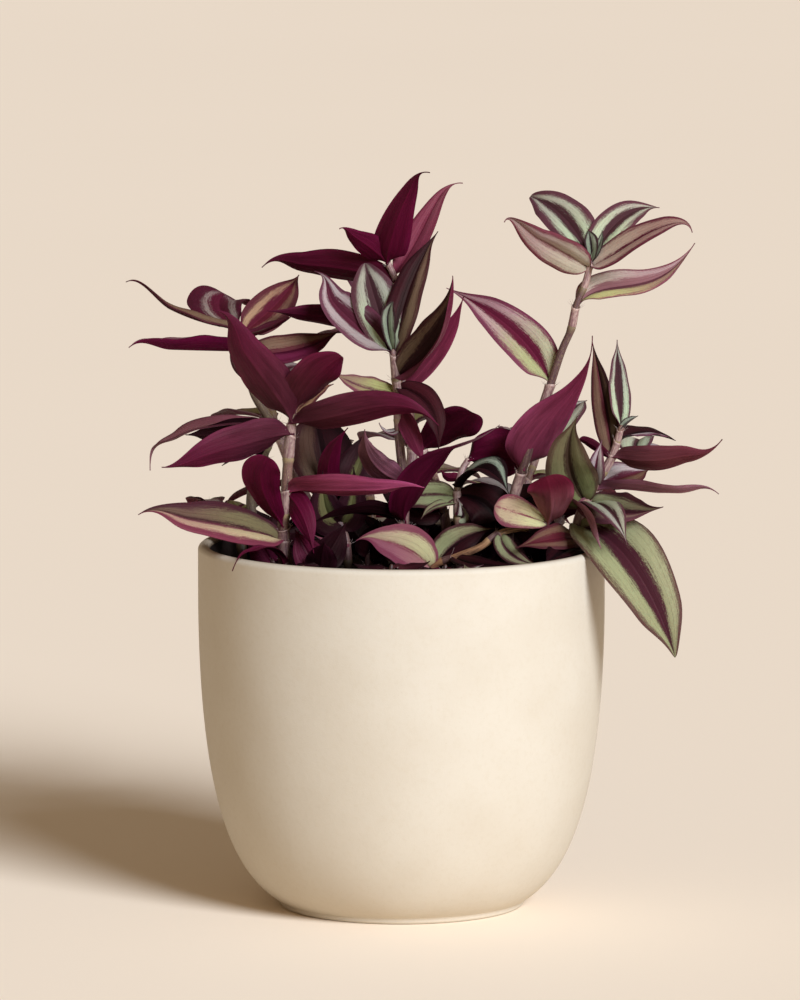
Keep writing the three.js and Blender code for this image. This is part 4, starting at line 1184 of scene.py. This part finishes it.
def carried_frames(places):
    """The direction of a line at each of its points, with two sides that turn as little as they can."""
    direction = unit(np.gradient(places, axis=0))
    side = unit(np.cross(direction[0], (0.3, 1, 0.1)))
    sides = []
    for way in direction:
        side = unit(side - way * side.dot(way))
        sides.append(side)
    sides = np.array(sides)
    return direction, sides, np.cross(direction, sides)


def ringed(places, side, other, radii, turns=STEM_TURNS):
    """A ring of points round each place."""
    ring = side[:, None] * np.cos(turns)[:, None] + other[:, None] * np.sin(turns)[:, None]
    return places[:, None] + ring * radii[:, None, None]


def bumps(distances, centres, width):
    """1 at each of the centres, and less away from them."""
    near = [np.exp(-(((distances - centre) / width) ** 2)) for centre in centres]
    return np.max([0 * distances, *near], axis=0)


def hair(pile, base, way, length, rng):
    """A bent tapering hair with three sides."""
    sideways = unit(np.cross(way, (rng.uniform(-1, 1), rng.uniform(-1, 1), 1.01)))
    bend = sideways * length * rng.uniform(-0.25, 0.25)
    places = np.array([base, base + way * length * 0.5 + bend * 0.3, base + way * length + bend])
    direction, side, other = carried_frames(places)
    turns = np.linspace(0, 2 * math.pi, 3, endpoint=False)
    pile.add_closed(ringed(places, side, other, np.array(HAIR_RADII), turns))


class Stalk:
    """A stem as it is built: its line, measured, and what its stalk and sheaths share."""

    def __init__(self, stem):
        steps = np.linspace(0, 1, LINE_STEPS)
        self.stem = stem
        self.track = np.array([smooth_line(stem.points, t) for t in steps])
        gaps = np.linalg.norm(np.diff(self.track, axis=0), axis=1)
        self.run = np.concatenate([[0], np.cumsum(gaps)])
        self.bark, self.joint = (np.array(linear(colour)) for colour in BARK[stem.bark])
        self.sheaths = []
        for row in sorted(stem.leaves, key=lambda row: -row.wide):
            mouth = np.interp(row.at / stem.reaches, steps, self.run)
            free = all(abs(mouth - other) > CLOSEST_SHEATHS for other, _ in self.sheaths)
            if free and row.wide >= NARROWEST_SHEATHED:
                self.sheaths.append((mouth, min(LONGEST_SHEATH, SHEATH_SHARE * row.wide)))

    def places(self, distances):
        return np.column_stack([np.interp(distances, self.run, self.track[:, axis]) for axis in range(3)])

    def radii(self, distances):
        share = np.clip(distances / self.run[-1], 0, 1)
        return self.stem.radius * (1 - (1 - TIP_TAPER) * share**3)

    def attributes(self, closeness, height_share, heights, seed):
        """What the materials read: how close a joint is, how high up its sheath a point is, where the grain
        is taken from and the colours."""
        radius = self.stem.radius
        facts = np.broadcast_arrays(closeness, height_share, 0 * heights)
        facts = np.repeat(np.column_stack(facts)[:, None], STEM_SIDES, axis=1)
        grain = np.broadcast_arrays(
            radius * np.cos(STEM_TURNS), radius * np.sin(STEM_TURNS) + seed, heights[:, None],
        )
        return dict(stalk=facts, grain=np.dstack(grain), bark=self.bark, joint=self.joint)

    def build(self, pile, hairs, rng):
        """A stem with a swollen joint and a papery sheath under each leaf or pair of leaves."""
        total = self.run[-1]
        distances = np.linspace(0, total, max(8, int(total / RING_STEP)))
        places = np.vstack([self.stem.root, self.places(distances)])
        distances = np.concatenate([-np.array(ROOT_DEPTHS), distances])
        direction, side, other = carried_frames(places)
        joints = np.array([mouth - length for mouth, length in self.sheaths])
        radii = self.radii(distances) * (0.94 + JOINT_SWELL * bumps(distances, joints, JOINT_WIDTH))
        rings = ringed(places, side, other, radii)
        ridge = 1 + RIDGE_HEIGHT * np.sin(RIDGES * STEM_TURNS + 1)
        rings = places[:, None] + (rings - places[:, None]) * ridge[:, None]
        tip = places[-1] + direction[-1] * radii[-1] * 0.8
        rings = np.concatenate([rings, [tip + (rings[-1] - places[-1]) * 0.45]])
        closeness = bumps(distances, joints + 1, JOINT_TONE_WIDTH)
        closeness = np.append(closeness, closeness[-1])
        heights = np.append(distances, distances[-1] + 1)
        seed = rng.uniform(0, 300)
        pile.add_closed(rings, **self.attributes(closeness, 0.0, heights, seed))
        for mouth, length in self.sheaths:
            self.sheath(pile, hairs, mouth, length, seed, rng)

    def sheath(self, pile, hairs, mouth, length, seed, rng):
        """A thin tube round the stem up to the mouth, with a slanting edge and hairs on it."""
        steps = np.linspace(0, 1, SHEATH_ROWS)
        start = max(mouth - length, 0.5)
        distances = start + (mouth - start) * steps
        places = self.places(distances)
        way, side, other = carried_frames(places)
        flare = 1.02 + 0.12 * smooth_step(0, 0.15, steps) + 0.14 * smooth_step(0.8, 1.0, steps)
        outer = self.radii(distances) * flare
        lowest = rng.uniform(0, 2 * math.pi)
        slant = SHEATH_SLANT * self.stem.radius * (1 - np.cos(STEM_TURNS - lowest)) / 2
        drop = way[:, None] * slant[:, None] * smooth_step(0.4, 1.0, steps)[:, None, None]
        shell = ringed(places, side, other, outer) - drop
        lining = ringed(places, side, other, outer - SHEATH_THICKNESS) - drop
        rings = np.concatenate([shell, lining[::-1]])
        shares = np.concatenate([steps, steps[::-1]])
        faces = grid_faces(len(rings), STEM_SIDES, ring=True)
        last = (len(rings) - 1) * STEM_SIDES
        for column in range(STEM_SIDES):
            after = (column + 1) % STEM_SIDES
            faces.append((last + column, last + after, after, column))
        facts = self.attributes(0.0, shares, shares * length, seed + mouth * 7)
        pile.add(rings, faces, 1, **facts)
        for edge in shell[-1, ::2]:
            outward = unit(edge - places[-1])
            toward = unit(outward * rng.uniform(0.5, 1.0) + way[-1] * rng.uniform(0.6, 1.2))
            hair(hairs, edge, toward, rng.uniform(*HAIR_LENGTH), rng)


def grow(stem, seed, leaves, stalks, hairs):
    """Adds a stem and its leaves to the piles."""
    rng = random.Random(seed)
    for row in stem.leaves:
        blade(leaves, row, stem, rng)
    Stalk(stem).build(stalks, hairs, rng)


def plant():
    leaf_look = leaf_material()
    stalk_looks = [stalk_material(), sheath_material()]
    hairs = Pile()
    for number, stem in enumerate(STEMS):
        leaves, stalks = Pile(), Pile()
        grow(stem, FIRST_STEM_SEED + number, leaves, stalks, hairs)
        leaves.piece(stem.name + "_leaves", "foliage", [leaf_look], node=stem.name)
        stalks.piece(stem.name + "_stalk", "foliage", stalk_looks)
    leaves, stalks = Pile(), Pile()
    for number, stem in enumerate(SPROUTS):
        grow(stem, FIRST_SPROUT_SEED + number, leaves, stalks, hairs)
    leaves.piece("sprout_leaves", "foliage", [leaf_look])
    stalks.piece("sprout_stalks", "foliage", stalk_looks)
    hair_look = plain_material("pale_hairs", (190, 170, 156), (156, 132, 126), 300, 0.5, 0.4)
    hairs.piece("sheath_hairs", "foliage", [hair_look])


# The studio

def studio():
    reach = FLOOR_REACH * MM
    corners = [(-reach, -reach, 0), (reach, -reach, 0), (reach, reach, 0), (-reach, reach, 0)]
    mesh = bpy.data.meshes.new("floor")
    mesh.from_pydata(corners, [], [(0, 1, 2, 3)])
    mesh.materials.append(plain_material("plain_floor", (247, 229, 204), (249, 231, 206), 1.2, 0.9, 0.15))
    floor = bpy.data.objects.new("floor", mesh)
    bpy.context.scene.collection.objects.link(floor)

    world = bpy.data.worlds.new("studio")
    world.use_nodes = True
    world.node_tree.nodes["Background"].inputs["Color"].default_value = WORLD_COLOUR
    world.node_tree.nodes["Background"].inputs["Strength"].default_value = WORLD_STRENGTH
    bpy.context.scene.world = world

    sun = bpy.data.lights.new("key", "SUN")
    sun.energy = KEY_STRENGTH
    sun.angle = math.radians(KEY_SPREAD_DEGREES)
    sun.color = KEY_COLOUR
    key = bpy.data.objects.new("key", sun)
    around, height = math.radians(KEY_AROUND_DEGREES), math.radians(KEY_HEIGHT_DEGREES)
    level = math.cos(height)
    towards = Vector((math.sin(around) * level, -math.cos(around) * level, math.sin(height)))
    key.rotation_mode = "QUATERNION"
    key.rotation_quaternion = towards.to_track_quat("Z", "Y")
    bpy.context.scene.collection.objects.link(key)


def camera():
    data = bpy.data.cameras.new("camera")
    data.sensor_width = CAMERA_SENSOR
    data.lens = CAMERA_LENS
    data.shift_x = CAMERA_SHIFT
    obj = bpy.data.objects.new("camera", data)
    obj.location = [part * MM for part in CAMERA_PLACE]
    obj.rotation_euler = (math.radians(90 - CAMERA_TILT_DEGREES), 0, 0)
    bpy.context.scene.collection.objects.link(obj)
    bpy.context.scene.camera = obj
    bpy.context.scene.view_settings.view_transform = "Standard"


camera()
studio()
pot()
soil()
plant()
